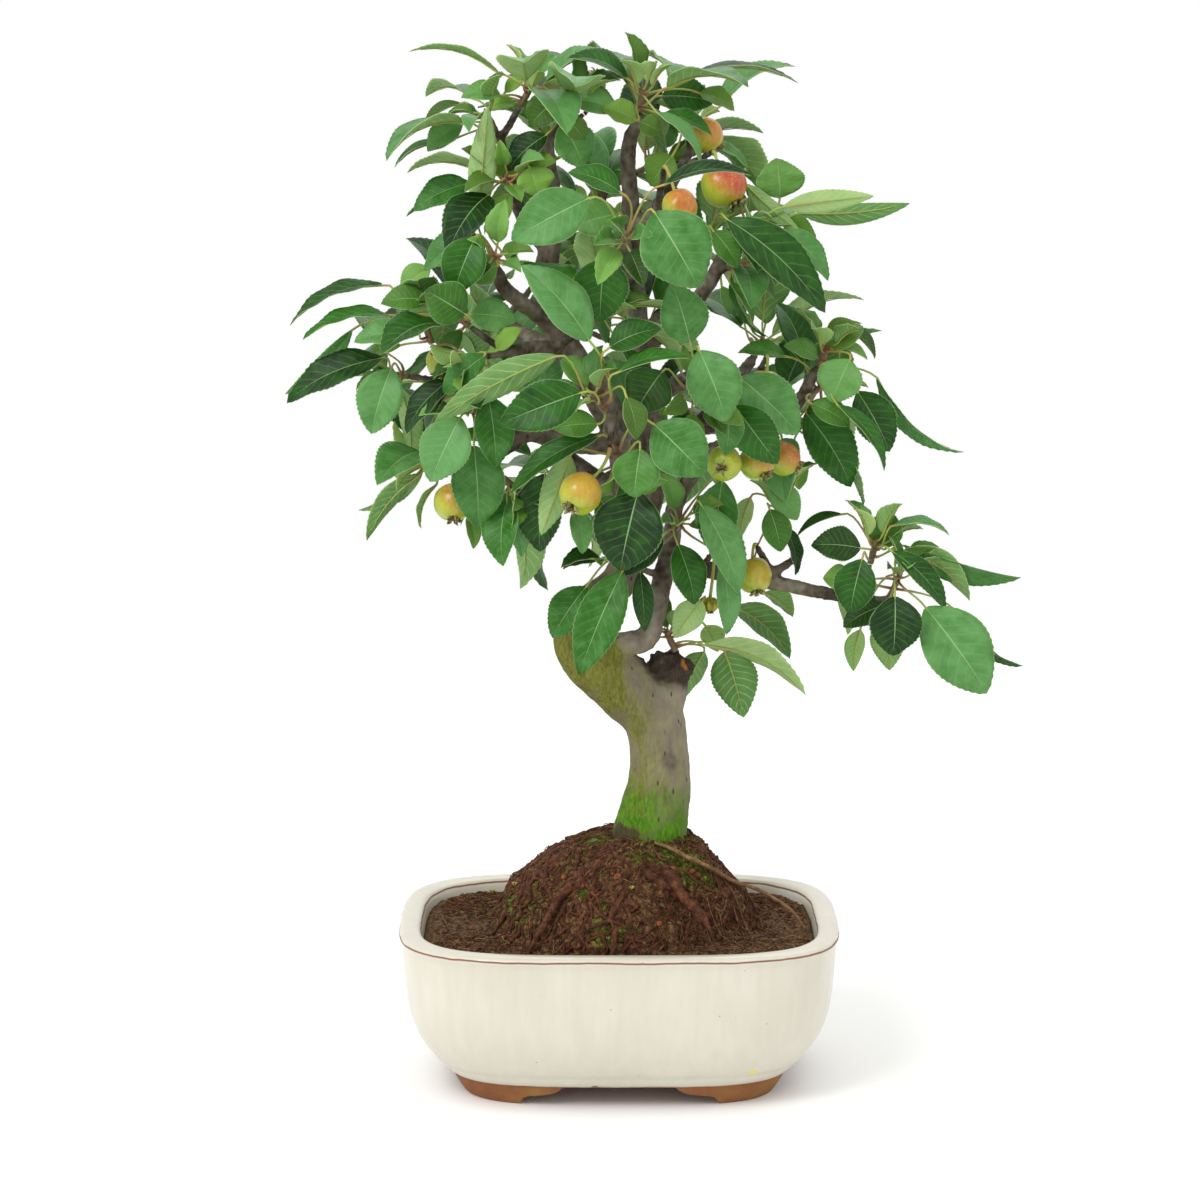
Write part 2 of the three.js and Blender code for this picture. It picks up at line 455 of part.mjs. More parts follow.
// ---------------------------------------------------------------- root ball and soil
// The mound of fibrous roots and earth that carries the tree; swell makes it larger by a clearance.
function mound(swell) {
  return skinned(MOUND.sides, MOUND.profile.length, (ring, angle, reach) => {
    const [height, x, halfWidth, halfDepth] = MOUND.profile[ring];
    const lump = MOUND.lumps.reduce((sum, [waves, share, start, turn]) => (
      sum + share * Math.sin(waves * angle + start + turn * ring)), 1);
    const drop = ring === 0 ? swell : -swell;
    return V(
      x + Math.cos(angle) * (halfWidth * lump + swell) * reach,
      Math.sin(angle) * (halfDepth * lump + swell) * reach,
      height - drop,
    );
  });
}

// The foot of the trunk with its surface roots; swell is the clearance of the hollows they stand in.
function footOfTree(swell) {
  const trunk = BRANCHES[0][2].slice(0, 3);
  const foot = limb(trunk.map(place), trunk.map((p) => p[3] + swell), BRANCHES[0][1]);
  return ROOTS.reduce((whole, line) => whole.add(
    limb(line.map(([x, y, z]) => V(x, y, z)), line.map((p) => p[3] + swell), ROOT_SIDES)), foot);
}

// The largest body of a solid, without the crumbs that a cut may leave.
const mainBody = (solid) => solid.decompose()
  .reduce((most, body) => (body.volume() > most.volume() ? body : most));

function buildSoil(hollow) {
  const { level, gap } = SOIL;
  const wall = POT.inside.filter(([height]) => height < level).reverse();
  const above = POT.inside.find((row, i) => POT.inside[i + 1][0] < level);
  const below = wall.at(-1);
  const share = (level - below[0]) / (above[0] - below[0]);
  const surface = below.map((value, k) => value + (above[k] - value) * share);
  const profile = [...wall, surface]
    .map(([height, halfWidth, halfDepth]) => [height, halfWidth - gap, halfDepth - gap]);
  profile[0][0] += SCREEN.thickness + 2 * CLEARANCE;
  return mainBody(oblongs(profile).subtract(hollow));
}

// ---------------------------------------------------------------- the tree's wood
// The point on the branches from which a twig to a seat grows, a little nearer the root than the seat.
function twigRoot(seat) {
  let best = null;
  BRANCHES.forEach(([, , line], branch) => {
    for (let i = 0; i < line.length - 1; i += 1) {
      for (const share of [0, 0.25, 0.5, 0.75, 1]) {
        const mix = line[i].map((value, k) => value + (line[i + 1][k] - value) * share);
        const point = place(mix);
        const cost = point.distanceTo(seat) + Math.max(0, point.z - seat.z + TWIG.back) + mix[3];
        const atEnd = i === line.length - 2 && share === 1;
        if (!best || cost < best.cost) best = { cost, point, radius: mix[3], branch, atEnd };
      }
    }
  });
  return best;
}

// Where a piece starts from the flat end of its twig, a clearance beyond it, and the way it faces.
function seatOf(seat) {
  const along = seat.clone().sub(twigRoot(seat).point).normalize();
  return { along, start: seat.clone().addScaledVector(along, CLEARANCE) };
}

// All the wood as one body. The first twig from a branch's end carries the branch on.
function buildWood() {
  const limbs = BRANCHES.map(([, sides, line]) => (
    { points: line.map(place), radii: line.map((row) => row[3]), sides }));
  const carriedOn = new Set();
  for (const seat of [...SPRAYS.map((spray) => spray.seat), ...FRUIT.map((row) => row[1])].map(place)) {
    const { point, radius, branch, atEnd } = twigRoot(seat);
    if (atEnd && !carriedOn.has(branch)) {
      carriedOn.add(branch);
      limbs[branch].points.push(seat);
      limbs[branch].radii.push(TWIG.tip);
    } else {
      const base = Math.min(TWIG.base, radius * TWIG.share);
      limbs.push({ points: [point, seat], radii: [base, TWIG.tip], sides: TWIG.sides });
    }
  }
  return joined([footOfTree(0), ...limbs.map(({ points, radii, sides }) => limb(points, radii, sides))]);
}

// ---------------------------------------------------------------- fruit
function buildPome(middle, axis, radius) {
  const side = V(0, 1, 0).addScaledVector(axis, -axis.y).normalize();
  const cross = axis.clone().cross(side);
  return skinned(2 * SEPALS.count, POME.length, (ring, angle, reach) => {
    const [rise, share] = POME[ring];
    const eye = ring === POME.length - 1;
    const notch = eye && Math.round((angle / Math.PI) * SEPALS.count) % 2 !== 0 ? SEPALS.notch : 1;
    const sunk = eye && reach === 0 ? SEPALS.sunk : 0;
    return middle.clone().addScaledVector(axis, (rise - sunk) * radius)
      .addScaledVector(side, Math.cos(angle) * share * notch * radius * reach)
      .addScaledVector(cross, Math.sin(angle) * share * notch * radius * reach);
  });
}

// Fruit whose stalks meet at one seat; two or more stalks grow from a short spur there.
function buildFruit(seat, fruits) {
  const { start, along } = seatOf(place(seat));
  const spurEnd = start.clone().addScaledVector(along, STALK.spur);
  const alone = fruits.length === 1;
  const root = alone ? start : start.clone().lerp(spurEnd, 0.6);
  const bodies = fruits.flatMap(([across, down, depth, radius, leanX, leanY, leanZ]) => {
    const middle = place([across, down, depth]);
    const axis = middle.clone().sub(spurEnd).normalize().add(V(leanX, leanY, leanZ)).normalize();
    const dimple = middle.clone().addScaledVector(axis, -STALK.foot * radius);
    const bend = root.clone().addScaledVector(along, STALK.bend * root.distanceTo(dimple));
    const line = new THREE.QuadraticBezierCurve3(root, bend, dimple).getPoints(STALK.radii.length - 1);
    return [buildPome(middle, axis, radius), limb(line, STALK.radii, STALK.sides, along)];
  });
  if (!alone) bodies.push(limb([start, spurEnd], [STALK.spurRadius, STALK.spurRadius], STALK.spurSides));
  return joined(bodies);
}

// ---------------------------------------------------------------- leaves
// One leaf as a closed shell: a three-sided petiole that widens into a blade with a folded, arched,
// ovate outline. Both faces are cut into the same triangles.
function leafShell(leaf, thickness = LEAF.ribThickness) {
  const { points, faces } = leafMesh(leaf, thickness);
  return solidFrom(points, [[0, 2, 1], ...faces]);
}

// The points and faces of a leaf; its first three points are the ring that it grows from, and its first
// six faces are the petiole, whose end is mitred to meet the blade.
function leafMesh({ ring, foot, tip, halfWidth, face }, thickness) {
  const along = tip.clone().sub(foot);
  const length = along.length();
  along.normalize();
  const up = face.clone().addScaledVector(along, -face.dot(along)).normalize();
  const side = along.clone().cross(up);
  const spine = (t) => foot.clone().lerp(tip, t).addScaledVector(up, LEAF.arch * length * 4 * t * (1 - t));
  const rim = (t, share, sign) => spine(t)
    .addScaledVector(side, sign * Math.cos(LEAF.fold) * share * halfWidth)
    .addScaledVector(up, Math.sin(LEAF.fold) * share * halfWidth);
  const footHalf = Math.max(LEAF.petiole, LEAF.foot * halfWidth);
  const mitre = foot.clone().sub(middleOf(ring)).normalize().add(along).normalize();
  const corners = [[-footHalf, 0.4 * LEAF.petiole], [footHalf, 0.4 * LEAF.petiole], [0, -LEAF.petiole]];
  const base = corners.map(([x, y]) => {
    const offset = side.clone().multiplyScalar(x).addScaledVector(up, y);
    return foot.clone().add(offset).addScaledVector(along, -offset.dot(mitre) / along.dot(mitre));
  });
  const points = [...bestTurn(ring, base), ...base];
  const lefts = LEAF.edge.map(([t, share]) => points.push(rim(t, share, -1)) - 1);
  const rights = LEAF.edge.map(([t, share]) => points.push(rim(t, share, 1)) - 1);
  const tops = LEAF.ribs.map((t) => points.push(spine(t).addScaledVector(up, thickness / 2)) - 1);
  const unders = LEAF.ribs.map((t) => points.push(spine(t).addScaledVector(up, -thickness / 2)) - 1);
  const end = points.push(tip.clone()) - 1;
  const faces = [];
  for (const [a, b] of [[0, 1], [1, 2], [2, 0]]) {
    faces.push([a, b, b + 3], [a, b + 3, a + 3]);
  }
  const half = (rims, ribs, hem, flip) => {
    const rimLine = [hem, ...rims, end];
    const turn = (a, b, c) => faces.push(flip ? [a, c, b] : [a, b, c]);
    let rib = 0;
    for (let i = 0; i < rimLine.length - 1; i += 1) {
      const nearTip = i < rims.length && LEAF.edge[i][0] > (LEAF.ribs[0] + LEAF.ribs[1]) / 2;
      if (rib === 0 && (nearTip || i === rimLine.length - 2)) {
        turn(rimLine[i], ribs[1], ribs[0]);
        rib = 1;
      }
      turn(rimLine[i], rimLine[i + 1], ribs[rib]);
    }
  };
  half(lefts, tops, 3, true);
  half(rights, tops, 4, false);
  half(lefts, unders, 3, false);
  half(rights, unders, 4, true);
  faces.push([3, 4, tops[0]], [3, unders[0], 5], [5, unders[0], 4]);
  return { points, faces };
}

// Whether the petiole of a leaf passes through the blade or through itself.
function tangled(leaf) {
  const { points, faces } = leafMesh(leaf, PROBE_THICKNESS);
  const stalk = faces.slice(0, 6);
  const ray = new THREE.Ray();
  const hit = V(0, 0, 0);
  const pierces = (one, other) => one.some((corner, i) => {
    const next = one[(i + 1) % 3];
    if (other.includes(corner) || other.includes(next)) return false;
    ray.origin.copy(points[corner]);
    ray.direction.copy(points[next]).sub(points[corner]).normalize();
    return ray.intersectTriangle(...other.map((k) => points[k]), false, hit)
      && hit.distanceTo(points[corner]) < points[next].distanceTo(points[corner]);
  });
  return stalk.some((one) => faces.some((other) => pierces(one, other) || pierces(other, one)));
}

// A ring of three points, started where it joins another such ring with the least twist.
function bestTurn(ring, base) {
  const turns = [0, 1, 2].map((k) => base.map((_, i) => ring[(i + k) % 3]));
  const strain = (turned) => turned.reduce((sum, point, i) => sum + point.distanceToSquared(base[i]), 0);
  return turns.reduce((best, turned) => (strain(turned) < strain(best) ? turned : best));
}

const middleOf = (ring) => ring[0].clone().add(ring[1]).add(ring[2]).divideScalar(3);

function solidFrom(points, faces) {
  return solidOf(new THREE.BufferGeometry()
    .setAttribute("position", new THREE.Float32BufferAttribute(points.flatMap((q) => q.toArray()), 3))
    .setIndex(faces.flat()));
}

// The way a blade faces: turned about its length, from the eye towards the sky.
function faceOf(foot, tip, turn) {
  const along = tip.clone().sub(foot).normalize();
  const toEye = EYE.clone().sub(foot).normalize();
  toEye.addScaledVector(along, -toEye.dot(along)).normalize();
  const skyward = along.clone().cross(toEye);
  if (skyward.z < 0 || (Math.abs(skyward.z) < 0.05 && skyward.x < 0)) skyward.negate();
  const angle = THREE.MathUtils.degToRad(turn);
  return toEye.multiplyScalar(Math.cos(angle)).addScaledVector(skyward, Math.sin(angle));
}

const PROBE_THICKNESS = 2.6; // mm: a leaf is tried at this thickness, so that it keeps clear when thin
const LEAST_OVERLAP = 1e-6; // mm3
const boxesMeet = (a, b) => a.min.every((low, k) => low <= b.max[k] && b.min[k] <= a.max[k]);
const meets = (probe, others) => {
  const bounds = probe.boundingBox();
  return others.some((other) => boxesMeet(bounds, other.bounds)
    && probe.intersect(other.solid).volume() > LEAST_OVERLAP);
};

// A leaf keeps a little clear of other pieces, and only just clear of its own shoot and its other leaves.
const isClear = (leaf, shoot, taken) => !meets(leafShell(leaf), taken.filter(({ owner }) => owner === shoot))
  && !meets(leafShell(leaf, PROBE_THICKNESS), taken.filter(({ owner }) => owner !== shoot));

const FACE_TRIES = 4;
const LEAST_FACING = 0.25; // cosine of the widest angle between a face and the petiole on it

// The face of the shoot that a leaf grows from: the free one that looks most towards the leaf's foot,
// from which the leaf is clear of all other pieces and of the leaves on its own shoot.
function growFrom(shoot, leaf, taken) {
  const free = shoot.faces.filter((face) => !face.used).map((face) => {
    const out = leaf.foot.clone().sub(face.middle);
    return { face, score: out.normalize().dot(face.normal) };
  });
  free.sort((a, b) => b.score - a.score);
  for (const { face, score } of free.slice(0, FACE_TRIES)) {
    if (score < LEAST_FACING) return null;
    const grown = { ...leaf, ring: face.ring };
    if (!tangled(grown) && isClear(grown, shoot, taken)) return { ...grown, grownFrom: face };
  }
  return null;
}
// A leaf drawn on the sheet, tried a little nearer or farther until it is clear.
const DEPTH_TRIES = [0, -4, 4, -8, 8, -12, 12, -17, 17, -23, 23];
const TURN_TRIES = [0, 14, -14];
function drawnLeaf([footAcross, footDown, tipAcross, tipDown, depth, width, turn], shoot, taken) {
  for (const more of DEPTH_TRIES) {
    for (const twist of TURN_TRIES) {
      const foot = place([footAcross, footDown, depth + more]);
      const tip = place([tipAcross, tipDown, depth + more]);
      const face = faceOf(foot, tip, turn + twist);
      const leaf = growFrom(shoot, { foot, tip, halfWidth: 0.5 * width * stepAt(foot), face }, taken);
      if (leaf) return leaf;
    }
  }
  return null;
}

// A leaf that the rule adds: it leaves the shoot in the next direction of a spiral and arches over.
function wildLeaf(number, shoot, taken) {
  const side = V(0.31, 0.22, 0.92); // any way but the shoot's own
  side.addScaledVector(shoot.along, -side.dot(shoot.along)).normalize();
  const cross = shoot.along.clone().cross(side);
  for (let tried = 0; tried < WILD.tries; tried += 1) {
    const spin = number * WILD.spiral + between(-0.5, 0.5) * (1 + tried / 6);
    const open = between(...WILD.open);
    const way = shoot.along.clone().multiplyScalar(Math.cos(open))
      .addScaledVector(side, Math.sin(open) * Math.cos(spin))
      .addScaledVector(cross, Math.sin(open) * Math.sin(spin));
    const shrink = 1 - WILD.shrink * tried;
    const length = between(...WILD.length) * shrink;
    const petiole = between(...WILD.petiole) * shrink;
    const foot = shoot.middle.clone().addScaledVector(way, petiole).add(V(0, 0, WILD.lift * petiole));
    const reach = way.clone().add(V(0, 0, between(...WILD.droop))).normalize();
    const tip = foot.clone().addScaledVector(reach, length);
    const face = V(between(...WILD.lean), between(...WILD.lean), 1).addScaledVector(way, 0.25);
    const halfWidth = 0.5 * WILD.width * length * between(...WILD.widthSpread);
    const [lowest, highest] = WILD.heights;
    const within = Math.min(foot.z, tip.z) > lowest && Math.max(foot.z, tip.z) < highest;
    const leaf = within && growFrom(shoot, { foot, tip, halfWidth, face }, taken);
    if (leaf) return leaf;
  }
  return null;
}

// A bare shoot: its points, its faces, and those faces of its sides that a leaf can grow from.
function startShoot(spray) {
  const { start, along } = seatOf(place(spray.seat));
  const line = SHOOT.radii.map((_, i) => start.clone().addScaledVector(along, i * SHOOT.pitch));
  const core = limb(line, SHOOT.radii, SHOOT.sides);
  const made = core.getMesh();
  const points = [];
  for (let i = 0; i < made.vertProperties.length; i += 3) {
    points.push(V(...made.vertProperties.subarray(i, i + 3)));
  }
  const faces = [];
  for (let i = 0; i < made.triVerts.length; i += 3) {
    const corners = [...made.triVerts.subarray(i, i + 3)];
    const ring = corners.map((k) => points[k]);
    const normal = ring[1].clone().sub(ring[0]).cross(ring[2].clone().sub(ring[0])).normalize();
    faces.push({ corners, ring, normal, middle: middleOf(ring), used: Math.abs(normal.dot(along)) > 0.9 });
  }
  const middle = line[0].clone().lerp(line.at(-1), 0.5);
  return { spray, along, middle, core, points, faces, leaves: [] };
}

// A shoot with its leaves as one closed body: each leaf takes the place of the face it grows from.
function finishShoot({ points, faces, leaves }) {
  const allPoints = [...points];
  const allFaces = faces.filter((face) => !leaves.some((leaf) => leaf.grownFrom === face))
    .map((face) => face.corners);
  for (const leaf of leaves) {
    const made = leafMesh(leaf, LEAF.ribThickness);
    const index = made.points.map((point, i) => (
      i < 3 ? leaf.grownFrom.corners[leaf.grownFrom.ring.indexOf(point)] : allPoints.push(point) - 1));
    allFaces.push(...made.faces.map((face) => face.map((k) => index[k])));
  }
  return solidFrom(allPoints, allFaces);
}

// All leafy shoots: first the leaves of the outline, then those that the rule adds. A leaf that finds
// no clear place is left out.
function buildSprays(fixed) {
  const taken = fixed.map((solid) => ({ solid, bounds: solid.boundingBox() }));
  const shoots = SPRAYS.map(startShoot);
  for (const shoot of shoots) {
    taken.push({ solid: shoot.core, bounds: shoot.core.boundingBox(), owner: shoot });
  }
  const settle = (shoot, leaf) => {
    if (!leaf) return;
    leaf.grownFrom.used = true;
    shoot.leaves.push(leaf);
    const solid = leafShell(leaf);
    taken.push({ solid, bounds: solid.boundingBox(), owner: shoot });
  };
  for (const shoot of shoots) {
    for (const row of shoot.spray.leaves) settle(shoot, drawnLeaf(row, shoot, taken));
  }
  for (const shoot of shoots) {
    for (let i = 0; i < shoot.spray.more; i += 1) {
      settle(shoot, wildLeaf(i + shoot.leaves.length, shoot, taken));
    }
  }
  return shoots.map((shoot) => [shoot.spray.name, finishShoot(shoot)]);
}

// ---------------------------------------------------------------- the part
const part = new THREE.Group();
part.name = "crabapple_bonsai";

function add(name, solid, colour, roughness) {
  const material = new THREE.MeshStandardMaterial({ color: colour, roughness, metalness: 0 });
  const mesh = new THREE.Mesh(geometryOf(solid), material);
  mesh.name = name;
  part.add(mesh);
}

const wood = buildWood();
const hollow = footOfTree(SOIL.gap);
const rootBall = mainBody(mound(0).subtract(hollow));
const pot = buildPot();
const soil = buildSoil(mound(SOIL.gap).add(hollow));
const fruits = FRUIT.map(([name, seat, rows]) => [name, buildFruit(seat, rows)]);
const sprays = buildSprays([wood, rootBall, pot, soil, ...fruits.map(([, solid]) => solid)]);

add("pot", pot, 0xe8e5d6, 0.3);
POT.drainHoles.forEach((x, i) => add(`drain_screen_${i + 1}`, buildScreen(x), 0x2c2f2b, 0.7));
add("soil", soil, 0x3a2418, 1);
add("root_ball", rootBall, 0x6b3a24, 1);
add("tree", wood, 0x8f8776, 0.85);
for (const [name, solid] of fruits) add(name, solid, 0xd9a63a, 0.35);
for (const [name, solid] of sprays) add(`spray_${name}`, solid, 0x3c7a2c, 0.5);

// The origin is in the middle of the part's box, on the surface that the feet stand on.
const bounds = new THREE.Box3().setFromObject(part);
part.position.set(-(bounds.min.x + bounds.max.x) / 2, -(bounds.min.y + bounds.max.y) / 2, -bounds.min.z);

export default part;
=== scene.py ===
"""Crabapple bonsai in its glazed pot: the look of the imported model, for Blender 4.5.

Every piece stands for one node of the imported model, or for a few, and keeps its form: the wood grows along the same
lines, each leaf lies where the node has one, and the pot, soil, root ball and fruit fill the same outlines with
rounder, finer shapes.
"""
import logging
import math
import random
from dataclasses import dataclass, field
from enum import Enum
from functools import partial
from typing import Any, Callable, Mapping, Sequence

import bmesh
import bpy
from mathutils import Matrix, Vector, noise
from mathutils.bvhtree import BVHTree
from mathutils.kdtree import KDTree


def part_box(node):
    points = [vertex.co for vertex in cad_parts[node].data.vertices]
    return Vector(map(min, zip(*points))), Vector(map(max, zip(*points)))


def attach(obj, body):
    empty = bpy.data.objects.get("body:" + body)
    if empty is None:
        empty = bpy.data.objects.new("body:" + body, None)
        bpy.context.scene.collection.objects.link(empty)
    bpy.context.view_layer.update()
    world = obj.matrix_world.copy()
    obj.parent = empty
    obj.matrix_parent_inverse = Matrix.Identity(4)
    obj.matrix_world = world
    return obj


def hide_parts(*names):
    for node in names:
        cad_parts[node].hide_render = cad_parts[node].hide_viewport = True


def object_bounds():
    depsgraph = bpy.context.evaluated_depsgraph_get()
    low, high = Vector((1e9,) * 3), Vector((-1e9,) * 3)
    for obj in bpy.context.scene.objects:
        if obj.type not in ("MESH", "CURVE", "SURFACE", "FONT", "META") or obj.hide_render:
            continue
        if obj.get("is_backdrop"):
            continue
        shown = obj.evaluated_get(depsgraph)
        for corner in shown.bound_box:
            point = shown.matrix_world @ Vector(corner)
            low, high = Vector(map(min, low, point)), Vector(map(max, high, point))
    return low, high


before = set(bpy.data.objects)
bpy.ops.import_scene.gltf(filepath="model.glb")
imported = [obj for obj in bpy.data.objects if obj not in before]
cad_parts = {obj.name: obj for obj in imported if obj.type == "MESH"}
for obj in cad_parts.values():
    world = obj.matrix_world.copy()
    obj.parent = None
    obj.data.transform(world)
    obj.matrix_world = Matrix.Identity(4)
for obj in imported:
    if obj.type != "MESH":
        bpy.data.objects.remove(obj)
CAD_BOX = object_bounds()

MM = 0.001  # metres in a millimetre
SEED = 29
UP = Vector((0.0, 0.0, 1.0))
Line = list[Vector]  # points of a limb as x, y, z and radius, in metres
Row = Sequence[float]
FACTOR, A, B = 0, 6, 7  # inputs of a colour mix
FALL = {"To Min": 1.0, "To Max": 0.0}  # for a range that is mapped the other way round
SQUARENESS = 3.8  # exponent of the pot's rounded oblongs
VEIN_PAIRS = 9.0  # side veins on each half of a leaf

log = logging.getLogger("bonsai")


def pot_middle() -> Vector:
    """The middle of the pot's foot in the row frame, in metres."""
    low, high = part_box("pot")
    return Vector(((low.x + high.x) / 2, (low.y + high.y) / 2, 0.0))


ORIGIN = pot_middle()


# ---------------------------------------------------------------- the sheet that the wood is drawn on
@dataclass(frozen=True)
class Sheet:
    """The upright sheet on which branches and fruit are placed, seen from the show side. Lengths are in mm.

    Attributes:
        eye: The eye of the show view, from the middle of the pot.
        aim: The point of the trunk's plane in the middle of the sheet.
        focal: Distance of the sheet from the eye, in steps of the sheet.
        middle: The middle of the sheet, in steps.
    """

    eye: Vector = field(default_factory=lambda: Vector((-11.0, -2000.0, 626.0)))
    aim: Vector = field(default_factory=lambda: Vector((-11.0, 0.0, 279.8)))
    focal: float = 3531.0
    middle: float = 600.0

    def ray(self, across: float, down: float) -> Vector:
        """Finds the direction in which a place on the sheet is seen.

        Args:
            across: Steps from the sheet's left edge.
            down: Steps from its top.

        Returns:
            The direction, in mm per step, not normalised.
        """
        ahead = (self.aim - self.eye).normalized()
        right = Vector((1.0, 0.0, 0.0))
        above = right.cross(ahead)
        return ahead * self.focal + right * (across - self.middle) + above * (self.middle - down)

    def place(self, across: float, down: float, depth: float) -> Vector:
        """The point in metres behind a place on the sheet, so many millimetres behind the trunk's plane."""
        ray = self.ray(across, down)
        return (self.eye + ray * ((depth - self.eye.y) / ray.y)) * MM + ORIGIN


SHEET = Sheet()

# The wood: each branch as places on the sheet with their depth and radius in mm
BRANCHES: dict[str, list[Row]] = {
    "trunk": [
        [650, 866, 0, 24], [651, 832, 0, 21.5], [658, 790, 0, 18.8], [659, 752, 0, 17.2],
        [652, 714, 0, 18], [622, 684, -2, 18.8], [590, 656, -4, 17.5], [580, 630, -2, 14.8],
        [594, 604, 4, 12.3], [618, 582, 8, 10.8], [633, 548, 8, 9.8], [634, 505, 6, 9.4],
        [620, 440, 3, 8.9], [598, 395, 0, 8.5], [562, 338, 1, 7.9], [545, 288, 4, 7],
        [553, 215, 8, 5.9], [545, 142, 5, 4.6],
    ],
    "second_leader": [
        [632, 548, 8, 8], [651, 500, 10, 7], [654, 445, 12, 6.6], [642, 380, 14, 6.1],
        [637, 300, 12, 5.6], [632, 220, 9, 5.1], [628, 150, 2, 4.4], [639, 122, -4, 3.8],
    ],
    "cross_branch": [
        [600, 652, -6, 9], [622, 644, -12, 7.4], [648, 636, -10, 6.6], [660, 590, -6, 6.1],
        [672, 535, 0, 5.4], [677, 500, 2, 4.8], [714, 446, -14, 3.8],
    ],
    "pruned_stump": [[662, 700, 2, 14], [668, 676, 4, 12], [664, 652, 6, 8.5]],
    "stump_nub": [[668, 676, 0, 8], [689, 665, -6, 5.5]],
    "low_east": [
        [668, 560, 0, 5.2], [735, 576, 3, 4.8], [766, 581, 0, 4.7], [800, 588, -5, 4.2],
        [834, 595, -8, 3.6], [888, 601, -8, 2.7],
    ],
    "low_east_twig": [[762, 580, 0, 3.4], [784, 566, 4, 2.8], [800, 556, 7, 2.2]],
    "mid_east": [
        [648, 404, 12, 5.6], [682, 382, -4, 5.2], [718, 376, -10, 4.9], [756, 396, -10, 4.5],
        [790, 410, -8, 4.2], [815, 372, -9, 3.2],
    ],
    "upper_east": [[640, 348, 12, 5.4], [664, 332, -4, 5.1], [706, 288, -9, 4.5], [735, 228, -2, 3.4]],
    "crown_east": [[633, 232, 9, 4.2], [658, 205, 4, 3.9], [690, 152, 24, 2.8]],
    "west_arm": [
        [612, 444, 0, 6.4], [570, 442, -10, 6], [504, 420, -20, 5], [452, 380, -24, 4], [438, 360, -22, 3.4],
    ],
    "upper_west": [[556, 328, 2, 5.6], [508, 292, -16, 4.5], [497, 270, -22, 3.8]],
    "west_face": [[570, 350, 0, 5], [536, 348, -30, 4.4], [508, 352, -52, 3.6]],
    "high_west": [[550, 248, 6, 4.6], [524, 222, 4, 4], [500, 140, 0, 2.9]],
    "low_west": [[535, 430, -16, 4.6], [486, 460, -20, 3.4], [458, 464, -20, 2.8]],
    "face_low": [[622, 440, 2, 6], [612, 434, -25, 5.2], [612, 420, -72, 3.8]],
    "face_high": [[637, 300, 12, 5.4], [630, 276, -34, 4.6], [624, 240, -86, 3.6]],
    "face_east": [[644, 390, 14, 5], [662, 392, -20, 4.4], [682, 378, -46, 3.6]],
    "back_centre": [[634, 480, 4, 7], [640, 440, 40, 6], [650, 400, 74, 5], [640, 350, 96, 4]],
    "back_crown": [[637, 305, 12, 5.4], [618, 276, 50, 4.6], [600, 225, 78, 3.6], [606, 176, 66, 3]],
    "back_west": [[578, 362, 2, 6], [545, 345, 38, 5.2], [486, 315, 84, 3.2]],
    "back_east": [[654, 450, 12, 6], [694, 430, 44, 5.2], [752, 360, 76, 3.4]],
    "back_south": [[634, 500, 6, 6], [600, 480, 36, 5], [545, 440, 52, 3.8], [505, 410, 58, 3]],
    "back_shoulder": [[640, 345, 12, 5], [672, 300, 40, 4.2], [695, 262, 56, 3.2]],
}

# Surface roots as x, y, z and radius in mm from the middle of the pot
ROOTS: list[list[Row]] = [
    [[18, -8, 131, 7], [27, -37, 127, 5.4], [48, -57, 106, 4.2], [64, -69, 82, 2.4]],
    [[14, -10, 131, 7], [7, -42, 126, 5], [0, -61, 107, 4], [-10, -74, 82, 2.2]],
    [[6, -4, 132, 7], [-24, -13, 134.5, 5.4], [-56, -21, 116, 4.2], [-79, -26, 82, 2.4]],
    [[8, -8, 132, 6], [-21, -38, 128, 4.8], [-42, -55, 107, 3.7], [-56, -66, 82, 2.2]],
    [[26, 2, 131, 7.5], [49, -1, 128, 5.8], [69, -9, 105, 4.2], [83, -13, 82, 2.4]],
    [[18, 10, 131, 7], [9, 39, 127, 5], [-1, 59, 108, 3.8], [-7, 69, 82, 2.4]],
    [[26, 10, 131, 6.5], [43, 35, 124, 4.8], [61, 61, 82, 2.5]],
    [[4, 6, 131, 6], [-29, 28, 127, 4.4], [-61, 52, 82, 2.4]],
    [[26, 8, 134, 4], [50, 22, 123, 2.6], [84, 30, 89.6, 1.9], [109, -6, 87.8, 1.3]],
]


@dataclass(frozen=True)
class FruitRow:
    """One crab apple: where its middle is on the sheet, how big and which way its eye leans, and how ripe it is."""

    across: float
    down: float
    depth: float
    radius: float
    lean: tuple[float, float, float]
    ripeness: float
    blush: float


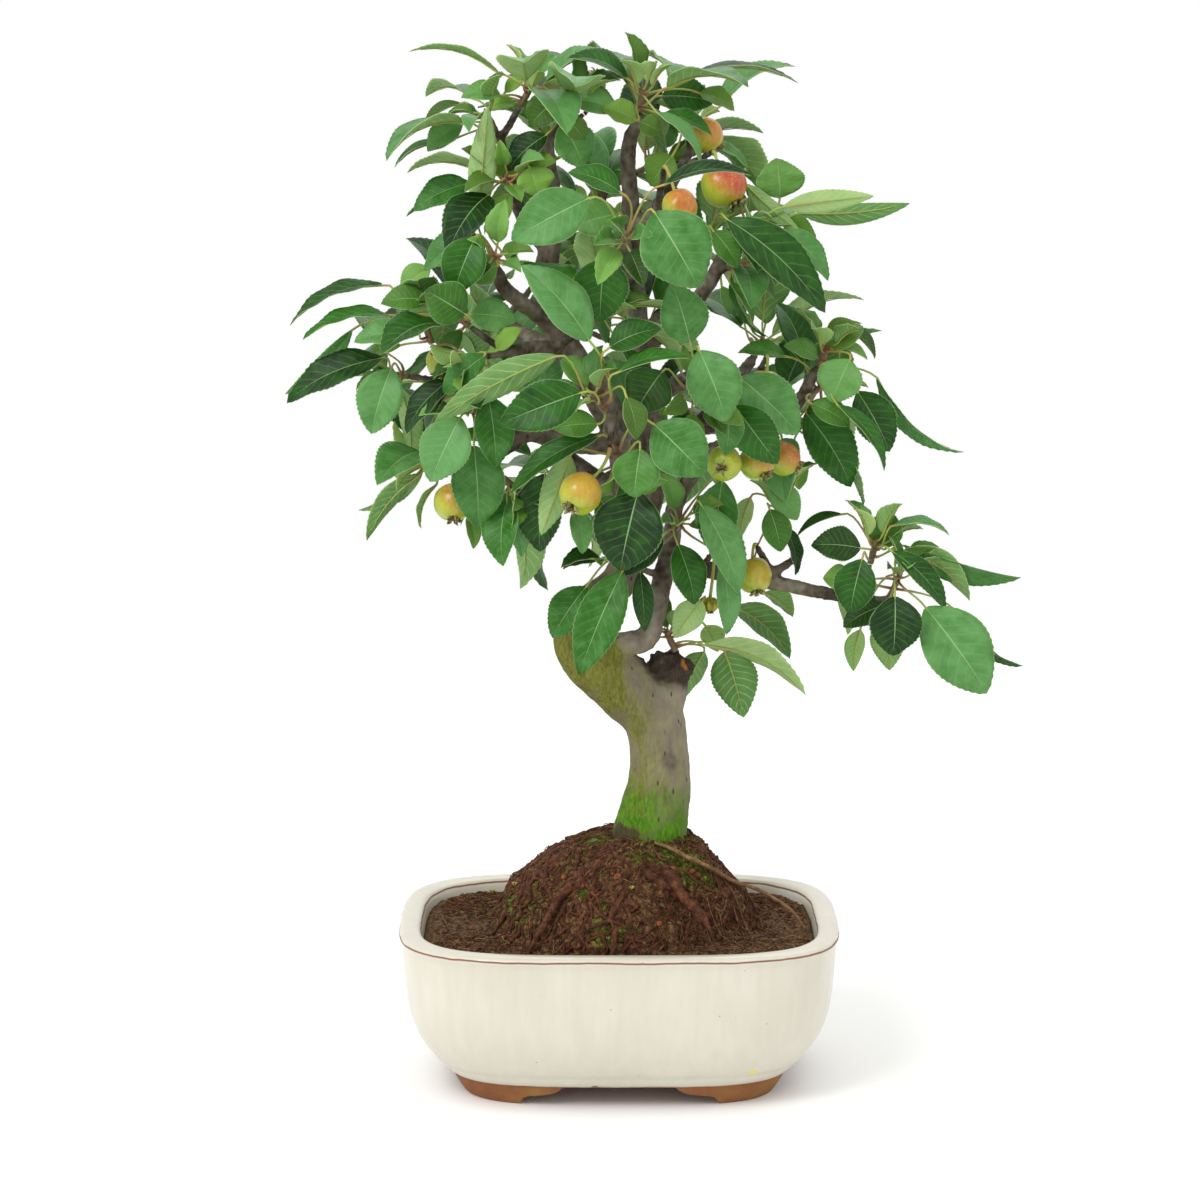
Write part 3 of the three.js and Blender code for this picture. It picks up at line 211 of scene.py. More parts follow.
FRUITS: dict[str, tuple[Row, list[FruitRow]]] = {
    "fruit_front": ([610, 446, -82], [FruitRow(580, 494, -94, 11.8, (-0.05, -0.5, 0), 0.42, 0.4)]),
    "fruit_west": ([441, 346, -34], [FruitRow(444, 362, -44, 10.2, (-0.3, -0.2, 0), 0.36, 0.6)]),
    "fruit_south_west": ([464, 466, -26], [FruitRow(453, 503, -40, 11, (0.3, -0.1, 0), 0.42, 0.5)]),
    "fruit_crown": ([584, 114, 12], [FruitRow(592, 84, 12, 8, (0.3, 0.2, 0), 0.2, 0.1)]),
    "fruit_red": ([712, 152, -14], [FruitRow(724, 186, -22, 12.8, (0.35, -0.1, 0), 0.42, 0.95)]),
    "fruit_crown_east": ([688, 112, 6], [FruitRow(706, 136, 2, 10.2, (0.2, 0.1, 0), 0.5, 0.6)]),
    "fruit_half_hidden": ([664, 168, -42], [FruitRow(680, 207, -62, 9.8, (0, 0, 0), 0.5, 0.75)]),
    "fruit_bunch_east": ([742, 424, -34], [
        FruitRow(724, 463, -58, 10, (-0.1, -1.6, 0.2), 0.26, 0.0),
        FruitRow(757, 463, -45, 10.2, (0.35, -0.5, 0), 0.34, 0.55),
        FruitRow(784, 459, -26, 9.8, (0.5, -0.4, 0), 0.38, 0.7),
    ]),
    "fruit_mid_east": ([766, 358, -30], [FruitRow(765, 387, -36, 9.6, (0, 0, 0), 0.4, 0.3)]),
    "fruit_low_east": ([757, 546, -6], [FruitRow(754, 576, -14, 10.4, (0.2, -0.1, 0), 0.33, 0.3)]),
    "fruit_withered": ([711, 554, -12], [FruitRow(710, 605, -20, 4.6, (0.1, -0.2, 0), 0.3, 0.0)]),
}


# ---------------------------------------------------------------- small helpers
def linear(code: str) -> tuple[float, float, float, float]:
    """Turns an sRGB colour written in hex into linear light.

    Args:
        code: Six hex digits after a hash sign.

    Returns:
        Red, green, blue and alpha in linear light.
    """
    channels = [int(code[i:i + 2], 16) / 255 for i in (1, 3, 5)]
    red, green, blue = [c / 12.92 if c <= 0.04045 else ((c + 0.055) / 1.055) ** 2.4 for c in channels]
    return red, green, blue, 1.0


def ease(low: float, high: float, value: float) -> float:
    """Rises softly from 0 to 1 as a value passes from low to high, or falls where high is the lower one."""
    share = min(1.0, max(0.0, (value - low) / (high - low)))
    return share * share * (3 - 2 * share)


def between(rows: Sequence[Row], spot: float) -> list[float]:
    """Mixes the two rows of numbers on either side of a spot, which is counted in rows."""
    low = min(int(spot), len(rows) - 2)
    return [a + (b - a) * (spot - low) for a, b in zip(rows[low], rows[low + 1])]


def spoke(angle: float, rise: float = 0.0) -> Vector:
    """A vector that is one long when seen from above."""
    return Vector((math.cos(angle), math.sin(angle), rise))


def fill(node: bpy.types.ShaderNode, inputs: Mapping[str | int, Any]) -> None:
    """Fills inputs of a shader node.

    Args:
        node: The node.
        inputs: For each input a node, of which the first output in use is linked, or a socket, hex colour or value.
    """
    for name, given in inputs.items():
        if isinstance(given, bpy.types.Node):
            given = next(output for output in given.outputs if output.enabled)
        if isinstance(given, bpy.types.NodeSocket):
            node.id_data.links.new(given, node.inputs[name])
        else:
            node.inputs[name].default_value = linear(given) if isinstance(given, str) else given


def add_node(
    tree: bpy.types.NodeTree,
    kind: str,
    inputs: Mapping[str | int, Any] | None = None,
    stops: Sequence[tuple[float, str]] = (),
    **settings: Any,
) -> bpy.types.ShaderNode:
    """Adds a shader node with its settings, values and links.

    Args:
        tree: The node tree.
        kind: The node's type, without the word ShaderNode.
        inputs: What goes into its inputs, as fill takes it.
        stops: Places and hex colours of a colour ramp.
        **settings: Properties of the node.

    Returns:
        The node.
    """
    node = tree.nodes.new(f"ShaderNode{kind}")
    for name, value in settings.items():
        setattr(node, name, value)
    fill(node, inputs or {})
    for i, (place, colour) in enumerate(stops):
        element = node.color_ramp.elements[i] if i < 2 else node.color_ramp.elements.new(place)
        element.position = place
        element.color = linear(colour)
    return node


def soft_line(rows: Sequence[Vector], steps: int) -> Line:
    """Carries a soft curve through rows of numbers.

    Args:
        rows: Points with their radius, as vectors of four numbers.
        steps: Steps between one row and the next.

    Returns:
        The finer line, with the same first and last row.
    """
    line = []
    for i in range(len(rows) - 1):
        a, b, c, d = rows[max(i - 1, 0)], rows[i], rows[i + 1], rows[min(i + 2, len(rows) - 1)]
        for k in range(steps):
            t = k / steps
            line.append(0.5 * (2 * b + (c - a) * t + (2 * a - 5 * b + 4 * c - d) * t ** 2
                               + (3 * b - a - 3 * c + d) * t ** 3))
    return line + [rows[-1].copy()]


def arc(start: Vector, bend: Vector, end: Vector, steps: int) -> list[Vector]:
    """Draws an arc in steps from start to end that leaves towards its bend and arrives from there."""
    shares = [i / steps for i in range(steps + 1)]
    return [start * (1 - t) ** 2 + bend * 2 * t * (1 - t) + end * t * t for t in shares]


def append(bm: bmesh.types.BMesh, mesh: bpy.types.Mesh, keep: bool = False) -> list:
    """Adds a mesh to a bmesh.

    Args:
        bm: The bmesh.
        mesh: The mesh.
        keep: Whether the mesh is wanted again; it is removed otherwise.

    Returns:
        The new vertices.
    """
    start = len(bm.verts)
    bm.from_mesh(mesh)
    if not keep:
        bpy.data.meshes.remove(mesh)
    bm.verts.ensure_lookup_table()
    return bm.verts[start:]


def smooth(faces: Sequence[bmesh.types.BMFace]) -> None:
    """Shades faces smooth."""
    for face in faces:
        face.smooth = True


def grow_ring(bm: bmesh.types.BMesh, edges: list) -> tuple[list, list, list]:
    """Extrudes a ring of edges, which stays in its place.

    Args:
        bm: The mesh.
        edges: The ring.

    Returns:
        The vertices and the edges of the new ring, and the faces that lead to it.
    """
    grown = bmesh.ops.extrude_edge_only(bm, edges=edges)["geom"]
    ring = [item for item in grown if isinstance(item, bmesh.types.BMVert)]
    inside = set(ring)
    edges = [item for item in grown if isinstance(item, bmesh.types.BMEdge) and inside.issuperset(item.verts)]
    return ring, edges, [item for item in grown if isinstance(item, bmesh.types.BMFace)]


def sweep(bm: bmesh.types.BMesh, line: Line, sides: int, material: int = 0, flat: float = 1.0) -> list:
    """Runs a round or flattened section along a line and closes both ends.

    Args:
        bm: The mesh to add to.
        line: Points with their radius.
        sides: Sides of the section.
        material: Index of the material of its faces.
        flat: Thickness of the section as a share of its width.

    Returns:
        The new vertices, ring by ring.
    """
    points = [row.to_3d() for row in line]
    ways = [(points[min(i + 1, len(points) - 1)] - points[max(i - 1, 0)]).normalized() for i in range(len(points))]
    turn = ways[0].to_track_quat("Z", "X")
    tube = bmesh.new()
    edges: list = []
    placed = Matrix.Identity(4)
    for i, (point, row) in enumerate(zip(points, line)):
        if i:
            turn = ways[i - 1].rotation_difference(ways[i]) @ turn
        before, placed = placed, Matrix.LocRotScale(point, turn, Vector((row.w, row.w * flat, row.w)))
        if i == 0:
            bmesh.ops.create_circle(tube, cap_ends=True, segments=sides, radius=1.0, matrix=placed)
            edges = list(tube.edges)
        else:
            ring, edges, _ = grow_ring(tube, edges)
            bmesh.ops.transform(tube, matrix=placed @ before.inverted(), verts=ring)
    bmesh.ops.contextual_create(tube, geom=edges)
    bmesh.ops.recalc_face_normals(tube, faces=tube.faces)
    smooth(tube.faces)
    for face in tube.faces:
        face.material_index = material
    return append(bm, mesh_of(tube, "tube", outward=False))


def stamp(bm: bmesh.types.BMesh, pattern: bpy.types.Mesh, placed: Matrix) -> None:
    """Adds a placed copy of a small mesh.

    Args:
        bm: The mesh to add to.
        pattern: The mesh to copy.
        placed: Where it goes.
    """
    pattern.transform(placed)
    bm.from_mesh(pattern)
    pattern.transform(placed.inverted())


@dataclass
class Piece:
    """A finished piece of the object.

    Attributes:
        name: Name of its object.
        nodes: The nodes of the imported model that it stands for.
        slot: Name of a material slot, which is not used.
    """

    name: str
    nodes: tuple[str, ...]
    slot: str

    def show(self, mesh: bpy.types.Mesh, materials: Sequence[bpy.types.Material]) -> bpy.types.Object:
        """Puts a mesh in the scene as this piece, riding on the object's one body.

        Args:
            mesh: The mesh, in the row frame.
            materials: Its materials, in the order of the faces' indices.

        Returns:
            The object.
        """
        mesh.name = self.name
        for material in materials:
            mesh.materials.append(material)
        made = bpy.data.objects.new(self.name, mesh)
        bpy.context.scene.collection.objects.link(made)
        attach(made, "root")
        if self.nodes:
            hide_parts(*self.nodes)
        mesh.calc_loop_triangles()
        log.info("%s: %d triangles", self.name, len(mesh.loop_triangles))
        return made


def mesh_of(bm: bmesh.types.BMesh, name: str, outward: bool = True) -> bpy.types.Mesh:
    """Turns a bmesh into a mesh and frees it.

    Args:
        bm: The bmesh.
        name: Name of the mesh.
        outward: Whether its faces are first turned outward.

    Returns:
        The mesh.
    """
    if outward:
        bmesh.ops.recalc_face_normals(bm, faces=bm.faces)
    mesh = bpy.data.meshes.new(name)
    bm.to_mesh(mesh)
    bm.free()
    return mesh


def evaluated(mesh: bpy.types.Mesh, *changes: tuple[str, Mapping[str, Any]]) -> bpy.types.Mesh:
    """Applies modifiers to a mesh.

    Args:
        mesh: The mesh, which is used up.
        *changes: Type and settings of each modifier, in order.

    Returns:
        The changed mesh.
    """
    bench = bpy.data.objects.new("bench", mesh)
    bpy.context.scene.collection.objects.link(bench)
    for kind, settings in changes:
        modifier = bench.modifiers.new(kind.lower(), kind)
        for name, value in settings.items():
            setattr(modifier, name, value)
    bpy.context.view_layer.update()
    made = bpy.data.meshes.new_from_object(bench.evaluated_get(bpy.context.evaluated_depsgraph_get()))
    bpy.data.objects.remove(bench)
    bpy.data.meshes.remove(mesh)
    return made


def start_finish(name: str) -> tuple[bpy.types.Material, Callable[..., bpy.types.ShaderNode], bpy.types.ShaderNode,
                                     bpy.types.NodeSocket]:
    """Starts a material.

    Args:
        name: Name of the real material.

    Returns:
        The material, what adds a node to it, its principled shader and its object coordinates.
    """
    made = bpy.data.materials.new(name)
    made.use_nodes = True
    add = partial(add_node, made.node_tree)
    return made, add, made.node_tree.nodes["Principled BSDF"], add("TexCoord").outputs["Object"]


# ---------------------------------------------------------------- finishes
@dataclass(frozen=True)
class BarkFinish:
    """Smooth apple bark: beige grey with olive algae, dark where it is rough, vivid green moss at the foot.

    The eye gets the age of the tree from it: bloom of algae on the shaded side, pores, and dark knots.
    """

    plain: str = "#A19B8D"
    shade: str = "#766D5F"
    algae: str = "#5B5F22"
    algae_light: str = "#84843C"
    dark: str = "#1B130E"
    dark_light: str = "#42352A"
    moss: str = "#284F0A"
    moss_light: str = "#5F8D1C"
    cut: str = "#A9642F"
    rosy: str = "#97897B"
    pore: str = "#4A3B2C"

    def make(self) -> bpy.types.Material:
        """Builds the material; the attribute holds algae, dark bark, cut wood and, as alpha, moss."""
        made, add, skin, coords = start_finish("apple_bark")
        long = add("Mapping", {"Vector": coords, "Scale": (1.0, 1.0, 0.34)})
        paint = add("Attribute", attribute_name="bark")
        parts = add("SeparateColor", {"Color": paint})
        cloud = add("TexNoise", {"Vector": long, "Scale": 90.0, "Detail": 5.0, "Roughness": 0.62})
        grain = add("TexNoise", {"Vector": long, "Scale": 620.0, "Detail": 4.0, "Roughness": 0.7})
        pores = add("TexVoronoi", {"Vector": long, "Scale": 210.0, "Randomness": 1.0})
        pore = add("MapRange", {"Value": pores, "From Min": 0.07, "From Max": 0.16, **FALL})
        plain = add("ValToRGB", {"Fac": cloud}, [(0.32, self.shade), (0.62, self.plain), (0.5, self.rosy)])
        bloom = add("ValToRGB", {"Fac": grain}, [(0.35, self.algae), (0.68, self.algae_light)])
        spread = add("Math", {0: parts, 1: cloud}, operation="ADD")
        algae = add("MapRange", {"Value": spread, "From Min": 0.68, "From Max": 1.06})
        green = add("Mix", {FACTOR: algae, A: plain, B: bloom}, data_type="RGBA")
        rough = add("ValToRGB", {"Fac": grain}, [(0.38, self.dark), (0.7, self.dark_light)])
        darker = add("Mix", {FACTOR: parts.outputs["Green"], A: green, B: rough}, data_type="RGBA")
        lush = add("ValToRGB", {"Fac": grain}, [(0.3, self.moss), (0.7, self.moss_light)])
        thick = add("Math", {0: paint.outputs["Alpha"], 1: grain}, operation="ADD")
        moss = add("MapRange", {"Value": thick, "From Min": 0.62, "From Max": 1.0})
        mossy = add("Mix", {FACTOR: moss, A: darker, B: lush}, data_type="RGBA")
        specked = add("Mix", {FACTOR: pore, A: mossy, B: self.pore}, data_type="RGBA")
        pruned = add("Mix", {FACTOR: parts.outputs["Blue"], A: specked, B: self.cut}, data_type="RGBA")
        wear = add("Math", {0: grain, 1: pore}, operation="SUBTRACT")
        bump = add("Bump", {"Height": wear, "Strength": 0.55, "Distance": 0.6 * MM})
        fill(skin, {"Base Color": pruned, "Normal": bump, "Roughness": 0.82, "Specular IOR Level": 0.16})
        return made


@dataclass(frozen=True)
class BladeFinish:
    """The skin of one side of a leaf: green with paler veins that run forward from the midrib.

    The upper side gives the eye a deep waxy green with a soft sheen, which its gloss gives in part; its brightest tone
    is greyed as a painted sheen. The underside is a pale, dull, downy green.
    """

    name: str
    deep: str
    mid: str
    # Brightest tone of the mix; on the upper side a greyed green that is a painted sheen
    fresh_and_sheen: str
    young: str
    vein: str
    roughness: float
    relief: float
    vein_strength: float
    glow: float
    spot: str = "#8A6A2C"

    def make(self) -> bpy.types.Material:
        """Builds the material; the blade's own map runs from foot to tip and from edge to edge."""
        made, add, skin, coords = start_finish(self.name)
        place = add("SeparateXYZ", {"Vector": add("UVMap", uv_map="blade")})
        off = add("Math", {0: place.outputs["Y"], 1: 0.5}, operation="SUBTRACT")
        beside = add("Math", {0: off}, operation="ABSOLUTE")
        forward = add("Math", {0: beside, 1: 0.42}, operation="MULTIPLY")
        level = add("Math", {0: place, 1: forward}, operation="SUBTRACT")
        cloud = add("TexNoise", {"Vector": coords, "Scale": 120.0, "Detail": 3.0, "Roughness": 0.6})
        sway = add("Math", {0: cloud, 1: 0.07}, operation="MULTIPLY")
        start = add("Math", {0: level, 1: sway}, operation="ADD")
        pairs = add("Math", {0: start, 1: VEIN_PAIRS}, operation="MULTIPLY")
        wave = add("Math", {0: pairs, 1: 0.5}, operation="PINGPONG")
        side_vein = add("MapRange", {"Value": wave, "From Min": 0.02, "From Max": 0.11, **FALL})
        width = add("Math", {0: place, 1: -0.017, 2: 0.021}, operation="MULTIPLY_ADD")
        midrib = add("MapRange", {"Value": beside, "From Min": 0.002, "From Max": width, "To Min": 0.8, "To Max": 0.0})
        hem = add("MapRange", {"Value": beside, "From Min": 0.472, "From Max": 0.494, "To Max": 0.5})
        fade = add("MapRange", {"Value": beside, "From Min": 0.2, "From Max": 0.48, "To Min": 1.0, "To Max": 0.25})
        faint = add("Math", {0: side_vein, 1: fade}, operation="MULTIPLY")
        shown = add("Math", {0: faint, 1: self.vein_strength}, operation="MULTIPLY")
        veins = add("Math", {0: shown, 1: midrib}, operation="MAXIMUM")
        pale = add("Math", {0: veins, 1: hem}, operation="MAXIMUM")
        draw = add("SeparateColor", {"Color": add("Attribute", attribute_name="leaf")})
        net = add("TexVoronoi", {"Vector": coords, "Scale": 900.0}, feature="DISTANCE_TO_EDGE")
        shift = add("Math", {0: cloud, 1: 0.5}, operation="MULTIPLY")
        mood = add("Math", {0: draw, 1: shift}, operation="ADD")
        # Each leaf's mood picks its tone; the upper side's brightest stop is a painted sheen
        green = add("ValToRGB", {"Fac": mood}, [(0.24, self.deep), (0.56, self.mid), (0.9, self.fresh_and_sheen)])
        fresh_and_sheen = add("Mix", {FACTOR: draw.outputs["Green"], A: green, B: self.young}, data_type="RGBA")
        lined = add("Mix", {FACTOR: pale, A: fresh_and_sheen, B: self.vein}, data_type="RGBA")
        spots = add("TexNoise", {"Vector": coords, "Scale": 210.0, "Detail": 2.0})
        hurt = add("Math", {0: spots, 1: draw.outputs["Blue"]}, operation="MULTIPLY")
        spot = add("MapRange", {"Value": hurt, "From Min": 0.6, "From Max": 0.66})
        spotted = add("Mix", {FACTOR: spot, A: lined, B: self.spot}, data_type="RGBA")
        high = add("Math", {0: veins, 1: self.relief}, operation="MULTIPLY")
        fine = add("MapRange", {"Value": net, "From Max": 0.12, "To Min": 0.0, "To Max": 0.12})
        form = add("Math", {0: high, 1: fine}, operation="ADD")
        bump = add("Bump", {"Height": form, "Strength": 0.5, "Distance": 0.6 * MM})
        fill(skin, {"Base Color": spotted, "Normal": bump, "Roughness": self.roughness,
                    "Subsurface Weight": self.glow, "Subsurface Radius": (0.5, 1.0, 0.25),
                    "Subsurface Scale": 1.2 * MM, "Specular IOR Level": 0.24})
        return made


@dataclass(frozen=True)
class StalkFinish:
    """Green petioles and young shoots with a rosy flush, which set the leaves off from the wood."""

    green: str = "#93AA4A"
    rosy: str = "#A9894A"
    base: str = "#8A3440"
    wood: str = "#66503C"

    def make(self) -> bpy.types.Material:
        """Builds the material; the leaves' attribute is woody where blue is high and red where alpha is low."""
        made, add, skin, coords = start_finish("young_green_stem")
        paint = add("Attribute", attribute_name="leaf")
        parts = add("SeparateColor", {"Color": paint})
        cloud = add("TexNoise", {"Vector": coords, "Scale": 60.0, "Detail": 2.0})
        tint = add("ValToRGB", {"Fac": cloud}, [(0.45, self.green), (0.68, self.rosy)])
        flush = add("Mix", {FACTOR: paint.outputs["Alpha"], A: self.base, B: tint}, data_type="RGBA")
        woody = add("Mix", {FACTOR: parts.outputs["Blue"], A: flush, B: self.wood}, data_type="RGBA")
        fill(skin, {"Base Color": woody, "Roughness": 0.5, "Subsurface Weight": 0.15, "Subsurface Scale": MM})
        return made


@dataclass(frozen=True)
class PomeFinish:
    """The waxy skin of a crab apple, which ripens from lime over yellow to orange, with a streaked red blush."""

    lime: str = "#93A82A"
    yellow: str = "#C3B42C"
    orange: str = "#C98A2C"
    blush: str = "#B23A26"
    dot: str = "#E9D99A"
    shrunk: str = "#6E6A12"
    shrunk_light: str = "#B7B01C"

    def make(self) -> bpy.types.Material:
        """Builds the material; the attribute holds ripeness, blush and wither."""
        made, add, skin, coords = start_finish("crabapple_skin")
        parts = add("SeparateColor", {"Color": add("Attribute", attribute_name="pome")})
        cloud = add("TexNoise", {"Vector": coords, "Scale": 130.0, "Detail": 4.0, "Roughness": 0.6})
        streak = add("Mapping", {"Vector": coords, "Scale": (1.0, 1.0, 0.3)})
        fleck = add("TexNoise", {"Vector": streak, "Scale": 520.0, "Detail": 3.0})
        shift = add("MapRange", {"Value": cloud, "To Min": -0.22, "To Max": 0.22})
        ripe = add("Math", {0: parts, 1: shift}, operation="ADD")
        ground = add("ValToRGB", {"Fac": ripe}, [(0.2, self.lime), (0.55, self.yellow), (0.9, self.orange)])
        patchy = add("MapRange", {"Value": fleck, "To Min": -0.42, "To Max": 0.36})
        sun = add("Math", {0: parts.outputs["Green"], 1: patchy}, operation="ADD", use_clamp=True)
        flushed = add("Mix", {FACTOR: sun, A: ground, B: self.blush}, data_type="RGBA")
        dots = add("TexVoronoi", {"Vector": coords, "Scale": 520.0})
        dot = add("MapRange", {"Value": dots, "From Min": 0.1, "From Max": 0.2, "To Min": 0.35, "To Max": 0.0})
        dotted = add("Mix", {FACTOR: dot, A: flushed, B: self.dot}, data_type="RGBA")
        shrunk = add("ValToRGB", {"Fac": fleck}, [(0.4, self.shrunk), (0.66, self.shrunk_light)])
        aged = add("Mix", {FACTOR: parts.outputs["Blue"], A: dotted, B: shrunk}, data_type="RGBA")
        fill(skin, {"Base Color": aged, "Roughness": 0.34, "Subsurface Weight": 0.12, "Subsurface Scale": 3 * MM,
                    "Coat Weight": 0.12})
        return made


@dataclass(frozen=True)
class MottledFinish:
    """A dull natural or fired stuff in two or three tones, mottled and rough to the eye."""

    name: str
    tones: tuple[tuple[float, str], ...]
    scale: float
    roughness: float = 0.9
    relief: float = 0.6 * MM
    growth: tuple[tuple[float, str], ...] = ()

    def make(self) -> bpy.types.Material:
        """Builds the material; where it has growth, the attribute of the film of moss says where."""
        made, add, skin, coords = start_finish(self.name)
        cloud = add("TexNoise", {"Vector": coords, "Scale": self.scale, "Detail": 6.0, "Roughness": 0.7})
        colour = add("ValToRGB", {"Fac": cloud}, self.tones)
        if self.growth:
            film = add("Attribute", attribute_name="moss")
            both = add("Math", {0: film.outputs["Fac"], 1: cloud}, operation="ADD")
            grown = add("MapRange", {"Value": both, "From Min": 0.75, "From Max": 1.15})
            green = add("ValToRGB", {"Fac": cloud}, self.growth)
            colour = add("Mix", {FACTOR: grown, A: colour, B: green}, data_type="RGBA")
        fine = add("TexNoise", {"Vector": coords, "Scale": self.scale * 4, "Detail": 4.0})
        bump = add("Bump", {"Height": fine, "Strength": 0.7, "Distance": self.relief})
        fill(skin, {"Base Color": colour, "Normal": bump, "Roughness": self.roughness, "Specular IOR Level": 0.2})
        return made


@dataclass(frozen=True)
class GlazeFinish:
    """Cream glaze on stoneware: soft gloss, faint streaks where it ran, and brown where it thins on an edge.

    Attributes:
        arris: Height in mm of the lip's outer edge, where the clay shows through.
        hem: Height in mm at which the glaze ends above the feet.
        clay: Colour of the clay there.
        marks: Small dab of yellow paint and small chip at the glaze's lower edge: place on the sheet with its
            depth, half width and half height in mm, and colour.
    """

    arris: float = 91.6
    hem: float = 12.6
    clay: str = "#7A4A33"
    speck: str = "#8A7A55"
    marks: tuple[tuple[Row, float, float, str], ...] = (
        ((753, 1073, -80), 2.9, 1.2, "#E3D22A"), ((595, 1087, -76), 2.2, 1.3, "#7D5236"))

    def make(self) -> bpy.types.Material:
        """Builds the material."""
        made, add, skin, coords = start_finish("cream_glazed_stoneware")
        height = add("SeparateXYZ", {"Vector": coords}).outputs["Z"]
        run = add("Mapping", {"Vector": coords, "Scale": (1.0, 1.0, 0.12)})
        streak = add("TexNoise", {"Vector": run, "Scale": 150.0, "Detail": 4.0, "Roughness": 0.6})
        cloud = add("TexNoise", {"Vector": coords, "Scale": 22.0, "Detail": 3.0})
        both = add("Math", {0: streak, 1: cloud}, operation="ADD")
        half = add("Math", {0: both, 1: 0.5}, operation="MULTIPLY")
        cream = add("ValToRGB", {"Fac": half}, [(0.36, "#C9C4B2"), (0.5, "#CDC8B8"), (0.64, "#D1CDBE")])
        specks = add("TexVoronoi", {"Vector": coords, "Scale": 95.0})
        speck = add("MapRange", {"Value": specks, "From Min": 0.03, "From Max": 0.06, "To Min": 0.75, "To Max": 0.0})
        specked = add("Mix", {FACTOR: speck, A: cream, B: self.speck}, data_type="RGBA")
        wander = add("TexNoise", {"Vector": coords, "Scale": 55.0, "Detail": 3.0})
        drift = add("MapRange", {"Value": wander, "To Min": -0.9 * MM, "To Max": 0.9 * MM})
        level = add("Math", {0: height, 1: drift}, operation="ADD")
        above = add("Math", {0: level, 1: self.arris * MM}, operation="SUBTRACT")
        away = add("Math", {0: above}, operation="ABSOLUTE")
        arris = add("MapRange", {"Value": away, "From Min": 0.25 * MM, "From Max": 0.75 * MM, **FALL})
        hem = add("MapRange", {"Value": level, "From Min": self.hem * MM, "From Max": (self.hem + 0.7) * MM, **FALL})
        thin = add("Math", {0: arris, 1: hem}, operation="MAXIMUM")
        colour = add("Mix", {FACTOR: thin, A: specked, B: self.clay}, data_type="RGBA")
        for place, half_width, half_height, code in self.marks:
            near = add("Mapping", {"Vector": coords, "Location": SHEET.place(*place),
                                   "Scale": (half_width * MM, 30 * MM, half_height * MM)}, vector_type="TEXTURE")
            far = add("VectorMath", {0: near}, operation="LENGTH")
            inside = add("MapRange", {"Value": far, "From Min": 0.85, "From Max": 1.0, **FALL})
            colour = add("Mix", {FACTOR: inside, A: colour, B: code}, data_type="RGBA")
        dull = add("MapRange", {"Value": thin, "To Min": 0.3, "To Max": 0.75})
        bump = add("Bump", {"Height": half, "Strength": 0.12, "Distance": 0.8 * MM})
        fill(skin, {"Base Color": colour, "Roughness": dull, "Normal": bump, "Coat Weight": 0.25,
                    "Coat Roughness": 0.18})
        return made


class Stuff(Enum):
    """The finishes of the object, each made once."""

    BARK = BarkFinish()
    # Deep waxy green with a sheen, what the leaves show to the light; the sheen is partly the gloss and partly a
    # painted sheen, the greyed brightest tone
    LEAF_UPPER = BladeFinish("crabapple_leaf_upper", "#0A2C02", "#29620F", "#5D9150", "#86B043",
                             "#9ABB80", 0.4, -0.6, 0.12, 0.06)
    # Pale, downy and dull, with raised veins: what the leaves show from below
    LEAF_UNDER = BladeFinish("crabapple_leaf_under", "#557F40", "#749A58", "#9AB574", "#A8C46C",
                             "#C0CE9A", 0.6, 1.2, 0.42, 0.12)
    STEM = StalkFinish()
    POME = PomeFinish()
    # Dried flower remains in the eye of each fruit, almost black brown
    CALYX = MottledFinish("dried_calyx", ((0.34, "#2A2016"), (0.48, "#666230"), (0.62, "#AFA77A")), 520.0)
    # Glossy cream glaze, brown where it thins out on an edge
    GLAZE = GlazeFinish()
    # Unglazed brown clay, which shows on the feet and inside the pot
    CLAY = MottledFinish("unglazed_brown_stoneware", ((0.3, "#7A4A30"), (0.5, "#8A5A38"), (0.7, "#8F6E3E")), 34.0,
                         0.78, 0.0003)
    # Damp peat, almost black in its gaps and reddish on its crumbs
    SOIL = MottledFinish("damp_peat_soil", ((0.34, "#1F140B"), (0.5, "#4F3721"), (0.66, "#8A6942")), 420.0, 0.95,
                         0.0012, growth=((0.35, "#232B0C"), (0.5, "#4A5418"), (0.66, "#8E8638")))
    # Dry plant fibres and bits of straw that lie on the soil
    STRAW = MottledFinish("dry_straw_fibre", ((0.35, "#58402B"), (0.65, "#92714D")), 260.0)
    # Reddish brown skin of the fine roots
    ROOT = MottledFinish("root_bark", ((0.35, "#2C1810"), (0.52, "#53301F"), (0.7, "#7A5036")), 240.0, 0.85)
    # Freshly cut root wood, which glows orange between the dark roots
    CUT = MottledFinish("cut_root_wood", ((0.35, "#522B16"), (0.65, "#A05E30")), 420.0, 0.8)
    # Short living moss, golden where it is dry
    MOSS = MottledFinish("cushion_moss", ((0.32, "#26380C"), (0.5, "#4C5F18"), (0.68, "#8A8430")), 300.0, 0.95,
                         0.001)
    # Green plastic net under the soil, slightly glossy
    NET = MottledFinish("plastic_drain_net", ((0.3, "#23402A"), (0.7, "#2E5236")), 90.0, 0.45, 0.0001)

    @property
    def material(self) -> bpy.types.Material:
        """The material, made at its first use."""
        name = self.value.name if hasattr(self.value, "name") else self.name.lower()
        if name not in _MADE:
            _MADE[name] = self.value.make()
        return _MADE[name]


_MADE: dict[str, bpy.types.Material] = {}


# ---------------------------------------------------------------- leaves
@dataclass(frozen=True)
class Leaf:
    """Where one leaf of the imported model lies, in metres."""

    root: Vector
    outward: Vector
    foot: Vector
    tip: Vector
    up: Vector
    side: Vector
    half_width: float

    @property
    def length(self) -> float:
        """Length of the blade."""
        return (self.tip - self.foot).length

    @property
    def along(self) -> Vector:
        """Direction of the blade."""
        return (self.tip - self.foot).normalized()


